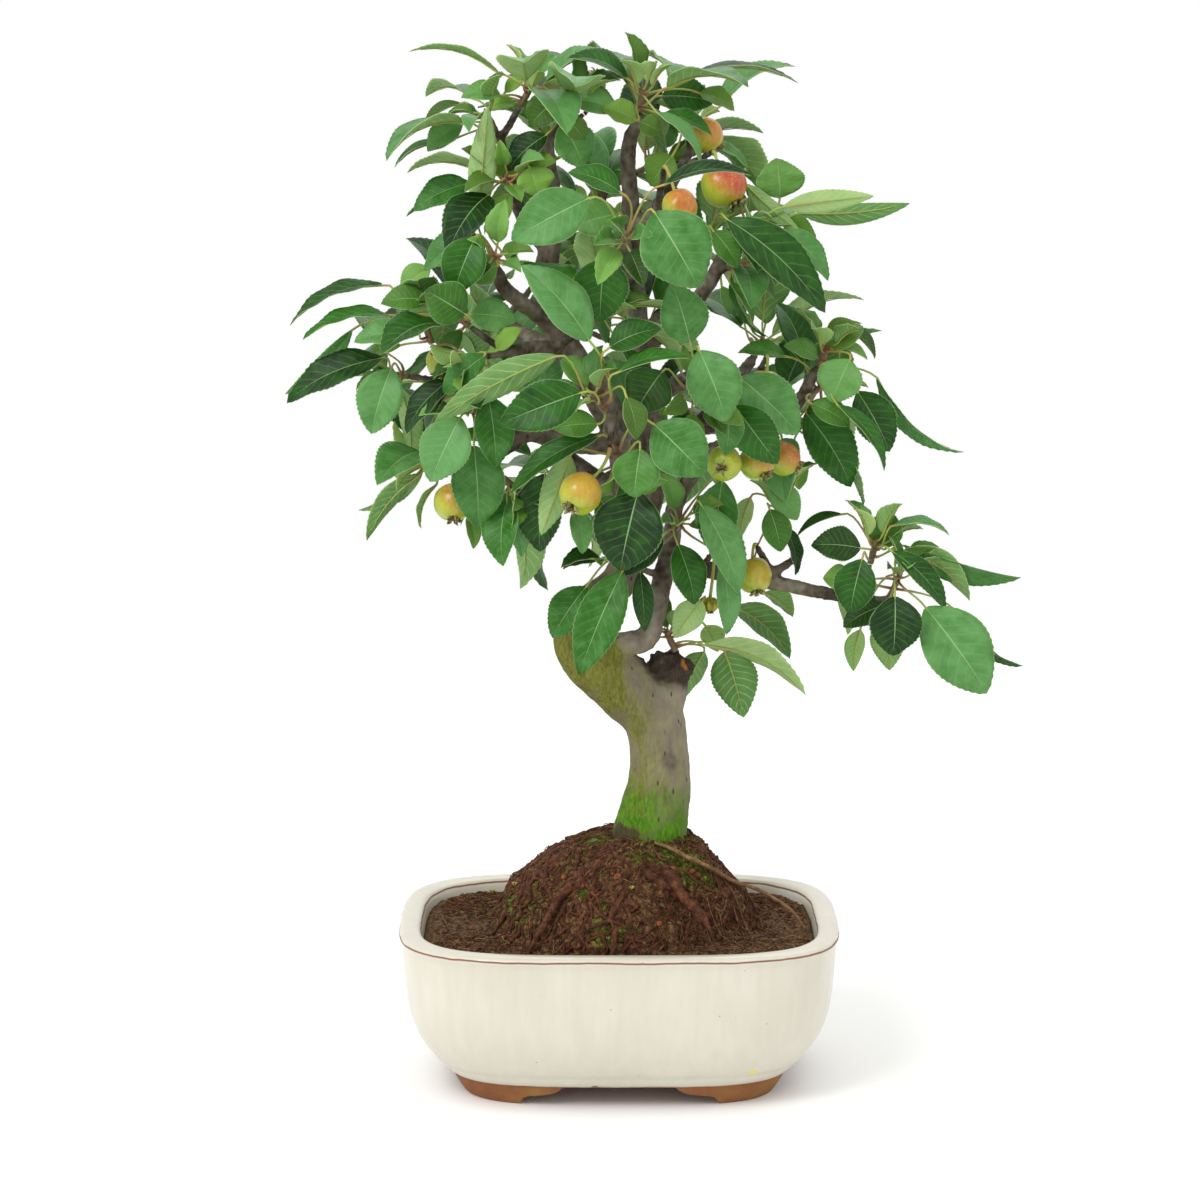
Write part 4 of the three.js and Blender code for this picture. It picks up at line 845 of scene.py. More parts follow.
@dataclass(frozen=True)
class BladeShape:
    """How a blade is formed between its foot and its tip.

    Attributes:
        rows: Rows of the mesh from foot to tip; every second one is a notch between two teeth.
        lanes: Lanes of the mesh across half a blade, as shares of its half width.
        fold: Angle in radians at which each half of a packed leaf rises from its midrib.
        open_fold: The same for the fine blade, whose halves are rounded.
        fullness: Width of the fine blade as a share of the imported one.
        arch: Rise of the middle as a share of the length.
        thickness: Thickness in metres.
        petiole: Radius of the petiole in metres at its base, in the middle and at the blade.
    """

    rows: int = 32
    lanes: tuple[float, ...] = (0.0, 0.08, 0.38, 0.72, 1.0)
    fold: float = 0.42
    open_fold: float = 0.27
    fullness: float = 1.15
    arch: float = 0.13
    thickness: float = 0.3 * MM
    petiole: tuple[float, float, float] = (0.95 * MM, 0.6 * MM, 0.7 * MM)


class LeafMaker:
    """Lays one finely cut pattern of a blade and of a petiole onto each leaf."""

    UPPER, UNDER, STEM = 0, 1, 2  # numbers of the materials
    STALK_STEPS = 8  # points of the petiole
    MIDRIB = (0.08, 0.2, 0.36, 0.54, 0.72, 0.88)  # points of the midrib, as shares of the blade's length
    SPOTTED = 0.16  # share of the leaves that have brown spots

    def __init__(self, shape: BladeShape, rng: random.Random) -> None:
        """Makes the flat patterns.

        Args:
            shape: The form of the blades.
            rng: Source of the small differences between leaves.
        """
        self.shape = shape
        self.rng = rng
        self.blade = self._blade_pattern()
        self.tube = self._tube_pattern()

    @staticmethod
    def start() -> bmesh.types.BMesh:
        """Starts a mesh that has the blades' map and the leaves' attribute."""
        bm = bmesh.new()
        bm.loops.layers.uv.new("blade")
        bm.verts.layers.float_color.new("leaf")
        return bm

    def _blade_pattern(self) -> bpy.types.Mesh:
        """A flat strip with a map: x runs from foot to tip, y from edge to edge, z is 0 above and -1 below."""
        shape = self.shape
        lanes = [-v for v in reversed(shape.lanes[1:])] + list(shape.lanes)
        across = len(lanes) - 1
        bm = self.start()
        bmesh.ops.create_grid(bm, x_segments=shape.rows, y_segments=across, size=0.5)
        for vert in bm.verts:
            lane = round((vert.co.y + 0.5) * across)
            vert.co = Vector((vert.co.x + 0.5, lanes[lane], 0.0))
        ends = [vert for vert in bm.verts if vert.co.x > 1 - 1e-4]
        bmesh.ops.pointmerge(bm, verts=ends, merge_co=Vector((1.0, 0.0, 0.0)))
        bmesh.ops.solidify(bm, geom=list(bm.faces), thickness=1.0)
        uv = bm.loops.layers.uv["blade"]
        smooth(bm.faces)
        for face in bm.faces:
            for loop in face.loops:
                loop[uv].uv = (loop.vert.co.x, loop.vert.co.y / 2 + 0.5)
        heights = [vert.co.z for vert in bm.verts]
        middle = (min(heights) + max(heights)) / 2
        for vert in bm.verts:
            vert.co.z = 0.0 if vert.co.z > middle else -1.0
        for face in bm.faces:
            level = sum(vert.co.z for vert in face.verts) / len(face.verts)
            face.material_index = self.UPPER if level > -0.1 else self.UNDER
        return mesh_of(bm, "blade_pattern")

    def _tube_pattern(self) -> bpy.types.Mesh:
        """A straight tube of radius 1 with a ring at each whole height, one for each point of a stalk's line."""
        bm = self.start()
        rings = self.STALK_STEPS + len(self.MIDRIB)
        sweep(bm, [Vector((0.0, 0.0, float(i), 1.0)) for i in range(rings)], 6, self.STEM)
        return mesh_of(bm, "tube_pattern")

    def _bow(self, leaf: Leaf, share: float, curl: float) -> float:
        """Height of the midrib over its chord at a share of the way to the tip, which curls up by so much."""
        return self.shape.arch * leaf.length * 4 * share * (1 - share) + curl * max(0.0, share - 0.55) ** 2 * 4

    def lay(self, bm: bmesh.types.BMesh, leaf: Leaf, youth: float) -> None:
        """Adds one leaf with its petiole.

        Args:
            bm: The spray's mesh.
            leaf: Where the leaf lies.
            youth: From 0 for a grown leaf to 1 for a new one.
        """
        rng, shape = self.rng, self.shape
        mood = 0.68 * rng.random() ** 1.15
        paint = Vector((mood, youth, rng.random() if rng.random() < self.SPOTTED else 0.0, 1.0))
        teeth = rng.uniform(0.008, 0.034)
        waves = rng.uniform(0.0, 0.09) * leaf.half_width
        phase = rng.uniform(0.0, 6.28)
        cup = rng.uniform(0.55, 1.05)
        curl = rng.uniform(-0.05, 0.02) * leaf.length
        verts = append(bm, self.blade, keep=True)
        layer = bm.verts.layers.float_color["leaf"]
        across = leaf.side * math.cos(shape.open_fold)
        for vert in verts:
            u, v, level = vert.co
            row = round(u * shape.rows)
            size = math.sin(math.pi * u ** 0.8) ** 0.8 if 0 < u < 1 else (0.1 if u <= 0 else 0.0)
            reach = abs(v)
            lean = 0.0
            if reach > 0.99 and 0 < row < shape.rows:
                reach *= 1 - (teeth * 1.6 if row % 2 else 0.0)
                lean = 0.0 if row % 2 else 0.35 / shape.rows
            size = max(size, 0.1 if u < 0.06 else 0.0) * leaf.half_width * shape.fullness
            rise = math.sin(shape.open_fold) * size * (reach ** 1.35 * cup + reach * (1 - cup))
            ripple = waves * math.sin(u * 17 + phase + (2.2 if v > 0 else 0.0)) * reach ** 2
            quilt = 0.18 * MM * math.cos((u - 0.21 * reach) * VEIN_PAIRS * 2 * math.pi) * (0.1 < reach < 0.9)
            groove = -0.22 * MM if reach < 0.03 else 0.0
            up = self._bow(leaf, u, curl) + rise + ripple - quilt + groove + level * shape.thickness
            vert.co = (leaf.foot + leaf.along * ((u + lean) * leaf.length)
                       + across * (math.copysign(reach, v) * size if v else 0.0) + leaf.up * up)
            vert[layer] = paint
        self._stalk(bm, leaf, paint, curl)

    def _stalk(self, bm: bmesh.types.BMesh, leaf: Leaf, paint: Vector, curl: float) -> None:
        """Adds the petiole, which runs on as the midrib under the blade.

        Args:
            bm: The spray's mesh.
            leaf: Where the leaf lies.
            paint: Value of the leaf's attribute.
            curl: How far the tip of the blade bends up, in metres.
        """
        shape = self.shape
        gap = (leaf.foot - leaf.root).length
        under = leaf.up * (-0.35 * MM)
        hold = leaf.root - leaf.outward * 0.6 * MM
        ends = [hold, leaf.root + leaf.outward * 0.35 * gap, leaf.foot + under - leaf.along * 0.35 * gap,
                leaf.foot + under]
        line = []
        for i in range(self.STALK_STEPS):
            t = i / (self.STALK_STEPS - 1)
            point = (ends[0] * (1 - t) ** 3 + ends[1] * 3 * t * (1 - t) ** 2
                     + ends[2] * 3 * t * t * (1 - t) + ends[3] * t ** 3)
            base, waist, end = shape.petiole
            width = base + (waist - base) * min(1.0, t * 2.5) if t < 0.6 else waist + (end - waist) * (t - 0.6) / 0.4
            line.append((point, width))
        for u in self.MIDRIB:
            width = (0.62 - 0.5 * u) * MM
            lift = self._bow(leaf, u, curl) - 0.52 * MM - 0.6 * width
            line.append((leaf.foot + leaf.along * (u * leaf.length) + leaf.up * lift, width))
        verts = append(bm, self.tube, keep=True)
        layer = bm.verts.layers.float_color["leaf"]
        frames = []
        for i, (point, _) in enumerate(line):
            way = line[min(i + 1, len(line) - 1)][0] - line[max(i - 1, 0)][0]
            across = (leaf.side - way * (leaf.side.dot(way) / way.length_squared)).normalized()
            frames.append((across, way.cross(across).normalized()))
        for vert in verts:
            ring = round(vert.co.z)
            point, width = line[ring]
            across, rise = frames[ring]
            vert.co = point + (across * vert.co.x + rise * vert.co.y) * width
            vert[layer] = Vector((paint.x, paint.y, 0.0, min(1.0, 0.15 + ring / 4)))

    def clear(self) -> None:
        """Removes the patterns, which no object uses."""
        for pattern in (self.blade, self.tube):
            bpy.data.meshes.remove(pattern)


class Spray:
    """A leafy shoot: it reads the leaves of its node and lays a fine leaf onto each."""

    CORE = ((0.0, 0.0), (0.0, 1.8), (6.2, 2.1), (12.4, 1.3), (12.4, 0.0))  # height and radius in mm of the shoot
    TOLERANCE = 0.03 * MM
    TIP_LEAVES = 5  # small young leaves round the bud

    def __init__(self, name: str, maker: LeafMaker, tips: LeafMaker) -> None:
        """Reads the node.

        Args:
            name: Name of the node.
            maker: Lays the leaves.
            tips: Lays the small young leaves round the bud.
        """
        self.name = name
        self.maker = maker
        self.tips = tips
        self.start = Vector()
        self.way = Vector()
        self.leaves: list[Leaf] = []
        self._read()

    @property
    def seat(self) -> Vector:
        """The end of the twig that carries the shoot."""
        return self.start - self.way * 0.3 * MM

    def _read(self) -> None:
        """Finds the shoot and its leaves in the node's mesh."""
        bm = bmesh.new()
        bm.from_mesh(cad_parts[self.name].data)
        bmesh.ops.remove_doubles(bm, verts=bm.verts, dist=0.005 * MM)
        bm.verts.index_update()
        start, end = (self._cap(bm, radius * MM) for radius in (1.8, 1.3))
        self.start = start.copy()
        self.way = (end - start).normalized()
        core = {vert for vert in bm.verts if self._in_core(vert.co)}
        rest = set(bm.verts) - core
        while rest:
            part = {min(rest, key=lambda vert: vert.index)}
            front = list(part)
            while front:
                vert = front.pop()
                for edge in vert.link_edges:
                    other = edge.other_vert(vert)
                    if other in rest and other not in part:
                        part.add(other)
                        front.append(other)
            rest -= part
            self.leaves.append(self._leaf(sorted(part, key=lambda vert: vert.index), core))
        bm.free()

    def _cap(self, bm: bmesh.types.BMesh, radius: float) -> Vector:
        """Finds the middle of an end of the shoot.

        Args:
            bm: The node's mesh, merged.
            radius: Radius of that end.

        Returns:
            The middle.
        """
        return next(vert.co for vert in bm.verts if len(vert.link_edges) == 4
                    and all(abs(edge.calc_length() - radius) < self.TOLERANCE for edge in vert.link_edges))

    def _in_core(self, point: Vector) -> bool:
        """Tells whether a point is one of the shoot's own, by its height and distance from the shoot's line.

        Args:
            point: The point.

        Returns:
            Whether it is.
        """
        height = (point - self.start).dot(self.way)
        reach = (point - self.start - self.way * height).length
        return any(abs(height - h * MM) < self.TOLERANCE and abs(reach - r * MM) < self.TOLERANCE
                   for h, r in self.CORE)

    def _leaf(self, part: list, core: set) -> Leaf:
        """Measures one leaf.

        Args:
            part: Its vertices, by index, since the order of a set changes from run to run.
            core: The vertices of the shoot.

        Returns:
            The leaf.
        """
        ring = [vert for vert in part if any(edge.other_vert(vert) in core for edge in vert.link_edges)]
        held = dict.fromkeys(other for vert in ring for edge in vert.link_edges
                             if (other := edge.other_vert(vert)) in core)
        root = sum((vert.co for vert in held), Vector()) / len(held)
        foot = sum((vert.co for vert in ring), Vector()) / len(ring)
        tip = max(part, key=lambda vert: (vert.co - foot).length).co.copy()
        along = (tip - foot).normalized()
        flat = [vert.co - along * vert.co.dot(along) for vert in part]
        wide = max(((a - b) for a in flat for b in flat), key=lambda gap: gap.length)
        side = wide.normalized()
        low = min(ring, key=lambda vert: abs((vert.co - foot).dot(side)))
        hem = sum((vert.co for vert in ring if vert is not low), Vector()) / 2
        up = side.cross(along)
        if up.dot(hem - low.co) < 0:
            up, side = -up, -side
        foot = hem - up * 0.3 * MM
        along = (tip - foot).normalized()
        side = (side - along * side.dot(along)).normalized()
        middle = self.start + self.way * (root - self.start).dot(self.way)
        return Leaf(root, (root - middle).normalized(), foot, tip, side.cross(along), side,
                    wide.length / (2 * math.cos(self.maker.shape.fold)))

    def _tip_leaf(self, number: int) -> Leaf:
        """Lays out one of the small young leaves round the bud at the end of the shoot.

        Args:
            number: Its place in the spiral.

        Returns:
            The leaf.
        """
        rng = self.maker.rng
        spin, open_angle = 2.4 * number + rng.uniform(-0.4, 0.4), rng.uniform(0.45, 1.15)
        across = self.way.cross(UP if abs(self.way.z) < 0.9 else Vector((1.0, 0.0, 0.0))).normalized()
        out = (across * math.cos(spin) + self.way.cross(across) * math.sin(spin)).normalized()
        way = (self.way * math.cos(open_angle) + out * math.sin(open_angle)).normalized()
        length = rng.uniform(15, 25) * MM
        root = self.start + self.way * (9.0 + 1.2 * number) * MM + out * 1.3 * MM
        foot = root + way * rng.uniform(5, 9) * MM
        tip = foot + (way + UP * rng.uniform(-0.35, 0.2)).normalized() * length
        along = (tip - foot).normalized()
        face = (self.way - out * 0.3 + UP * 0.6)
        up = (face - along * face.dot(along)).normalized()
        return Leaf(root, out, foot, tip, up, along.cross(up), 0.29 * length)

    def build(self) -> bpy.types.Mesh:
        """Builds the shoot with all its leaves."""
        bm = self.maker.start()
        layer = bm.verts.layers.float_color["leaf"]
        rows = [(-0.2, 1.75), (1.5, 1.95), (3.5, 1.8), (6.2, 2.05), (8.6, 1.8), (11, 1.6), (12.6, 1.5), (14.2, 1.0),
                (15.5, 0.25)]
        line = [Vector((*(self.start + self.way * (h * MM)), r * MM)) for h, r in rows]
        for vert in sweep(bm, line, 10, self.maker.STEM):
            vert.co += noise.noise_vector(vert.co * 500) * 0.22 * MM
            vert[layer] = Vector((0.5, 0.0, 0.85, 0.7))
        for i in range(self.TIP_LEAVES):
            self.tips.lay(bm, self._tip_leaf(i), self.maker.rng.uniform(0.0, 0.5))
        for leaf in sorted(self.leaves, key=lambda leaf: tuple(leaf.foot)):
            self.maker.lay(bm, leaf, ease(30 * MM, 17 * MM, leaf.length) * self.maker.rng.uniform(0.2, 0.8))
        return mesh_of(bm, self.name)

    def dress(self) -> None:
        """Shows the shoot in place of its node."""
        piece = Piece(f"leafy_{self.name}", (self.name,), "leaf")
        piece.show(self.build(), [Stuff.LEAF_UPPER.material, Stuff.LEAF_UNDER.material, Stuff.STEM.material])


# ---------------------------------------------------------------- wood
@dataclass(frozen=True)
class WoodSizes:
    """Sizes of the wood's fine form, in metres; stout is the radius above which a limb counts as trunk."""

    voxel: float = 1.45 * MM
    twig_base: float = 2.6 * MM
    twig_tip: float = 1.9 * MM
    twig_back: float = 9 * MM
    bark_relief: float = 0.35 * MM
    stout: float = 9.5 * MM


class Wood:
    """All the wood as one grown body: roots, trunk, branches and the twigs that carry leaves and fruit."""

    # Places on the sheet, with their depth in mm, from which the bark's form and colour are reckoned
    MARKS = {
        "hollow": (626, 616, -6), "scar": (563, 655, -16), "nub": (686, 663, -10), "stump": (668, 660, 4),
        "pit": (670, 762, -17), "foot": (640, 846, -20), "elbow": (575, 640, -12), "flare": (620, 845, -14),
        "buttress": (684, 862, -24),
    }
    # Distances in mm from a mark between which its effect rises from nothing to full
    REACH = {
        "hollow": (9, 3), "scar": (5, 2), "nub": (3.6, 2.6), "stump": (24, 14), "pit": (9, 3), "elbow": (36, 12),
        "flare": (18, 11), "buttress": (26, 12),
    }
    SCAR_RADIUS = 6.5  # mm, of the rim that has grown round it

    def __init__(self, sizes: WoodSizes, seats: Sequence[Vector]) -> None:
        """Lays out the limbs.

        Args:
            sizes: Sizes of the fine form.
            seats: Ends of the twigs.
        """
        self.sizes = sizes
        self.seats = list(seats)
        self.limbs: list[Line] = []
        self.roots: list[int] = []
        self._lay_out()

    def _lay_out(self) -> None:
        """Draws the line of each limb, root and twig."""
        for rows in BRANCHES.values():
            points = [Vector((*SHEET.place(*row[:3]), row[3] * MM)) for row in rows]
            self.limbs.append(soft_line(points, 6))
        for rows in ROOTS:
            points = [Vector((*(Vector(row[:3]) * MM + ORIGIN), row[3] * MM)) for row in rows]
            self.roots.append(len(self.limbs))
            self.limbs.append([self._gnarled(row, i / (7 * len(rows))) for i, row in enumerate(soft_line(points, 7))])
        for seat in self.seats:
            point, radius = self.twig_root(seat)
            base = min(self.sizes.twig_base, radius * 0.9)
            sag = point.lerp(seat, 0.5) + Vector((0.0, 0.0, -0.05 * (seat - point).length))
            line = arc(point, sag, seat, 8)
            self.limbs.append([Vector((*p, base + (self.sizes.twig_tip - base) * i / 8))
                               for i, p in enumerate(line)])

    @staticmethod
    def _gnarled(row: Vector, share: float) -> Vector:
        """Bends and thins a root's line a little, more so away from the trunk, and sinks it in the earth.

        Args:
            row: Point and radius.
            share: Share of the way along the root.

        Returns:
            The changed point and radius.
        """
        point = row.to_3d()
        bend = noise.noise_vector(point * 55) * 3.2 * MM * ease(0.1, 0.5, share)
        radius = row.w * (0.8 - 0.24 * ease(0.15, 0.5, share) + 0.4 * noise.noise(point * 110))
        return Vector((*(point + bend - UP * 2.0 * MM * ease(0.2, 0.45, share)), radius))

    def twig_root(self, seat: Vector) -> tuple[Vector, float]:
        """Finds where on the branches the twig to a seat grows from.

        Args:
            seat: End of the twig.

        Returns:
            The point and the branch's radius there.
        """
        best: tuple[float, Vector, float] | None = None
        for rows in BRANCHES.values():
            for one, next_one in zip(rows, rows[1:]):
                for share in (0.0, 0.25, 0.5, 0.75, 1.0):
                    mixed = [a + (b - a) * share for a, b in zip(one, next_one)]
                    point = SHEET.place(*mixed[:3])
                    radius = mixed[3] * MM
                    cost = (point - seat).length + max(0.0, point.z - seat.z + self.sizes.twig_back) + radius
                    if best is None or cost < best[0]:
                        best = (cost, point, radius)
        return best[1], best[2]

    def build(self) -> bpy.types.Mesh:
        """Joins the limbs into one skin and gives it bark."""
        bm = bmesh.new()
        for line in self.limbs:
            sweep(bm, line, 20 if line[0].w > 6 * MM else 12)
        rough = mesh_of(bm, "wood_limbs")
        voxel = self.sizes.voxel * 1
        skin = evaluated(rough, ("REMESH", {"mode": "VOXEL", "voxel_size": voxel, "adaptivity": 0.0}),
                         ("SMOOTH", {"factor": 0.6, "iterations": 4}))
        bm = bmesh.new()
        bm.from_mesh(skin)
        bpy.data.meshes.remove(skin)
        self._grow_bark(bm)
        smooth(bm.faces)
        return mesh_of(bm, "tree")

    def _grow_bark(self, bm: bmesh.types.BMesh) -> None:
        """Moves the skin into flutes, knots and bark, and paints where algae, moss and dark bark are.

        Args:
            bm: The skin.
        """
        rows = [row for line in self.limbs for row in line]
        of_root = [i in self.roots for i, line in enumerate(self.limbs) for _ in line]
        earthy: set[int] = set()
        trees = []
        for stout in (True, False):
            chosen = [i for i, row in enumerate(rows) if (row.w > self.sizes.stout) == stout]
            trees.append(KDTree(len(chosen)))
            for i in chosen:
                trees[-1].insert(rows[i].to_3d(), i)
            trees[-1].balance()
        layer = bm.verts.layers.float_color.new("bark")
        marks = {name: SHEET.place(*place) for name, place in self.MARKS.items()}
        left, right = SHEET.place(560, 700, 0).x, SHEET.place(700, 700, 0).x
        for vert in bm.verts:
            point = vert.co.copy()
            found = [(far - rows[i].w, i) for tree in trees for _, i, far in tree.find_n(point, 6)]
            nearest, index = min(found)
            shares = [(math.exp((nearest - gap) / (3 * MM)), rows[i].w) for gap, i in found]
            girth = sum(share * w for share, w in shares) / sum(share for share, _ in shares)
            long = Vector((point.x, point.y, point.z * 0.4))
            stout = ease(6 * MM, 13 * MM, girth)
            crown = ease(8, 60, (point.z - marks["elbow"].z) / MM)
            slim = max(1 - stout, 0.8 * crown)
            flute = noise.noise(long * 42) * 0.07 * girth * stout
            lump = noise.fractal(point * 130, 1.0, 2.0, 3) * 0.11 * girth * (0.25 + 0.75 * slim)
            grain = noise.fractal(long * 480, 0.8, 2.1, 3) * self.sizes.bark_relief * (0.45 + 0.7 * slim)
            near = {name: (point - mark).length / MM for name, mark in marks.items()}
            felt = {name: ease(*reach, near[name]) for name, reach in self.REACH.items()}
            hollow, stump = felt["hollow"], felt["stump"]
            ring = math.exp(-((near["scar"] - self.SCAR_RADIUS) / 1.3) ** 2) - 0.6 * felt["scar"]
            gnarl = noise.fractal(point * 240, 0.8, 2.2, 3) * max(stump, 0.5 * hollow) * 1.8 * MM
            move = flute + lump + grain + gnarl - hollow * 3.2 * MM + ring * 0.55 * MM
            move -= 0.8 * MM * math.exp(-(near["pit"] / 2.6) ** 2)
            vert.co = point + vert.normal * move
            height = (point.z - marks["foot"].z) / MM
            west = ease(right, left, point.x)
            front = 0.5 - 0.5 * vert.normal.y
            algae = 0.08 + 0.46 * west * stout + 0.34 * felt["elbow"]
            algae = (algae + 0.25 * ease(150, 20, height) * stout) * (0.55 + 0.45 * front)
            algae += 0.25 * ease(-0.2, 0.8, -vert.normal.z) * (1 - stout)
            moss = stout * 1.05 * ease(52, 8, height) * (0.5 + 0.5 * west) * (0.8 + 0.5 * noise.noise(point * 110))
            dark = max(1 - ease(3.5 * MM, self.sizes.stout, girth) * 0.75, 0.85 * crown, hollow, stump,
                       felt["pit"] * 0.7)
            dark = min(1.0, dark * (0.74 + 0.6 * noise.noise(point * 90 + Vector((7, 3, 1)))
                                    + 0.4 * noise.noise(point * 330)) + max(hollow, stump) * 0.5)
            if of_root[index]:
                dark = 0.45 + 0.5 * noise.noise(point * 140)
                moss = max(0.7 * ease(-14, -2, height), 0.8 * felt["buttress"])
                moss *= 0.8 + 0.6 * noise.noise(point * 110)
            flare = ease(*self.REACH["flare"], near["flare"] + 5 * noise.noise(point * 120))
            dark, moss = max(dark, 0.9 * flare), moss * (1 - flare)
            cut = ease(*self.REACH["nub"], near["nub"] + 1.6 * noise.noise(point * 300)) * (vert.normal.y < 0.4)
            if of_root[index] and height < -2 + 4 * noise.noise(point * 200):
                earthy.add(vert.index)
            vert[layer] = Vector((max(0.0, algae), max(0.0, dark) * 0.9, cut, min(1.0, moss)))
        for face in bm.faces:
            face.material_index = int(all(vert.index in earthy for vert in face.verts))

    def dress(self) -> None:
        """Shows the wood in place of its node."""
        Piece("bonsai_wood", ("tree",), "bark").show(
            self.build(), [Stuff.BARK.material, Stuff.ROOT.material])


# ---------------------------------------------------------------- fruit
class CrabApple:
    """One fruit with its dried eye and its stalk."""

    # Rise along the axis and distance from it, as shares of the radius, from the stalk's dimple to the eye
    PROFILE = ((-0.6, 0.02), (-0.66, 0.1), (-0.78, 0.2), (-0.87, 0.34), (-0.88, 0.5), (-0.78, 0.68), (-0.58, 0.84),
               (-0.3, 0.95), (0.0, 0.99), (0.3, 0.94), (0.56, 0.8), (0.74, 0.62), (0.84, 0.44), (0.88, 0.32),
               (0.86, 0.24), (0.8, 0.16), (0.76, 0.02))
    STALK = ((1.2,), (1.0,), (0.85,), (1.0,))  # radius in mm along the stalk
    ARC = 12  # steps of the stalk
    STEM, CALYX, SPUR = 1, 2, 3  # numbers of the materials, after the skin's

    def __init__(self, row: FruitRow, withered: bool, rng: random.Random) -> None:
        """Notes the fruit.

        Args:
            row: Where it is and how ripe.
            withered: Whether it has shrunk and wrinkled.
            rng: Source of its small differences.
        """
        self.row = row
        self.withered = withered
        self.rng = rng
        self.middle = SHEET.place(row.across, row.down, row.depth)
        self.radius = row.radius * MM

    def axis(self, spur_end: Vector) -> Vector:
        """Direction from the stalk's end to the eye."""
        return ((self.middle - spur_end).normalized() + Vector(self.row.lean)).normalized()

    def grow(self, bm: bmesh.types.BMesh, root: Vector, way: Vector, spur_end: Vector) -> None:
        """Adds the fruit, its eye and its stalk.

        Args:
            bm: The piece's mesh.
            root: Where the stalk starts.
            way: Direction in which it leaves the wood.
            spur_end: The point from which the fruit hangs.
        """
        axis = self.axis(spur_end)
        placed = Matrix.LocRotScale(self.middle, axis.to_track_quat("Z", "Y"), Vector((self.radius,) * 3))
        self._globe(bm, placed)
        self._eye(bm, placed)
        dimple = self.middle - axis * 0.6 * self.radius
        bend = root + way * (0.45 * (dimple - root).length)
        last = len(self.STALK) - 1
        line = [Vector((*point, between(self.STALK, i / self.ARC * last)[0] * MM))
                for i, point in enumerate(arc(root, bend, dimple, self.ARC))]
        sweep(bm, line, 8, self.STEM)

    def _globe(self, bm: bmesh.types.BMesh, placed: Matrix) -> None:
        """Spins the outline into the fruit and swells, dents and paints it.

        Args:
            bm: The piece's mesh.
            placed: Place, turn and size of the fruit.
        """
        globe = bmesh.new()
        layer = globe.verts.layers.float_color.new("pome")
        rows = soft_line([Vector((reach, 0.0, rise, 0.0)) for rise, reach in self.PROFILE], 2)
        verts = [globe.verts.new(row.to_3d()) for row in rows]
        edges = [globe.edges.new(pair) for pair in zip(verts, verts[1:])]
        bmesh.ops.spin(globe, geom=verts + edges, axis=(0, 0, 1), cent=(0, 0, 0), angle=2 * math.pi, steps=40,
                       use_merge=True)
        for height in (self.PROFILE[0][0], self.PROFILE[-1][0]):
            pole = [vert for vert in globe.verts if abs(vert.co.z - height) < 1e-4 and vert.co.xy.length < 0.03]
            bmesh.ops.pointmerge(globe, verts=pole, merge_co=Vector((0.0, 0.0, height)))
        seed = self.rng.uniform(0, 50)
        sun = Vector((0.55, -0.35, 0.75)).normalized()
        for vert in globe.verts:
            angle = math.atan2(vert.co.y, vert.co.x)
            lobes = 0.02 * math.cos(5 * angle) * ease(0.2, 0.8, vert.co.z)
            swell = 0.05 * noise.noise(vert.co * 1.3 + Vector((seed, 0, 0)))
            if self.withered:
                swell += 0.13 * math.sin(angle * 7 + 3 * noise.noise(vert.co * 2)) * (1 - vert.co.z ** 2)
            vert.co *= 1 + lobes + swell
            facing = (placed.to_3x3() @ vert.co).normalized().dot(sun)
            blush = self.row.blush * ease(-0.35, 0.75, facing)
            vert[layer] = Vector((self.row.ripeness - 0.1 + 0.2 * facing, blush, float(self.withered), 1.0))
        smooth(globe.faces)
        globe.transform(placed)
        append(bm, mesh_of(globe, "globe"))

    def _eye(self, bm: bmesh.types.BMesh, placed: Matrix) -> None:
        """Adds the five dried sepals and the tuft of stamens.

        Args:
            bm: The piece's mesh.
            placed: Place, turn and size of the fruit.
        """
        rng = self.rng
        for i in range(5):
            angle = 2 * math.pi * i / 5 + rng.uniform(-0.2, 0.2)
            reach = rng.uniform(0.42, 0.62)
            rows = ((0.74, 0.12, 0.13), (0.92, 0.22, 0.15), (1.04, 0.36, 0.1), (rng.uniform(1.0, 1.16), reach, 0.02))
            line = [Vector((*(placed @ (UP * height + spoke(angle) * out)), width * self.radius))
                    for height, out, width in rows]
            sweep(bm, soft_line(line, 2), 6, self.CALYX, 0.4)
        for _ in range(9):
            out = spoke(rng.uniform(0, 6.28))
            path = [UP * 0.76 + out * 0.05, UP * rng.uniform(1.0, 1.14) + out * 0.16]
            sweep(bm, [Vector((*(placed @ p), 0.03 * self.radius)) for p in path], 4, self.CALYX)


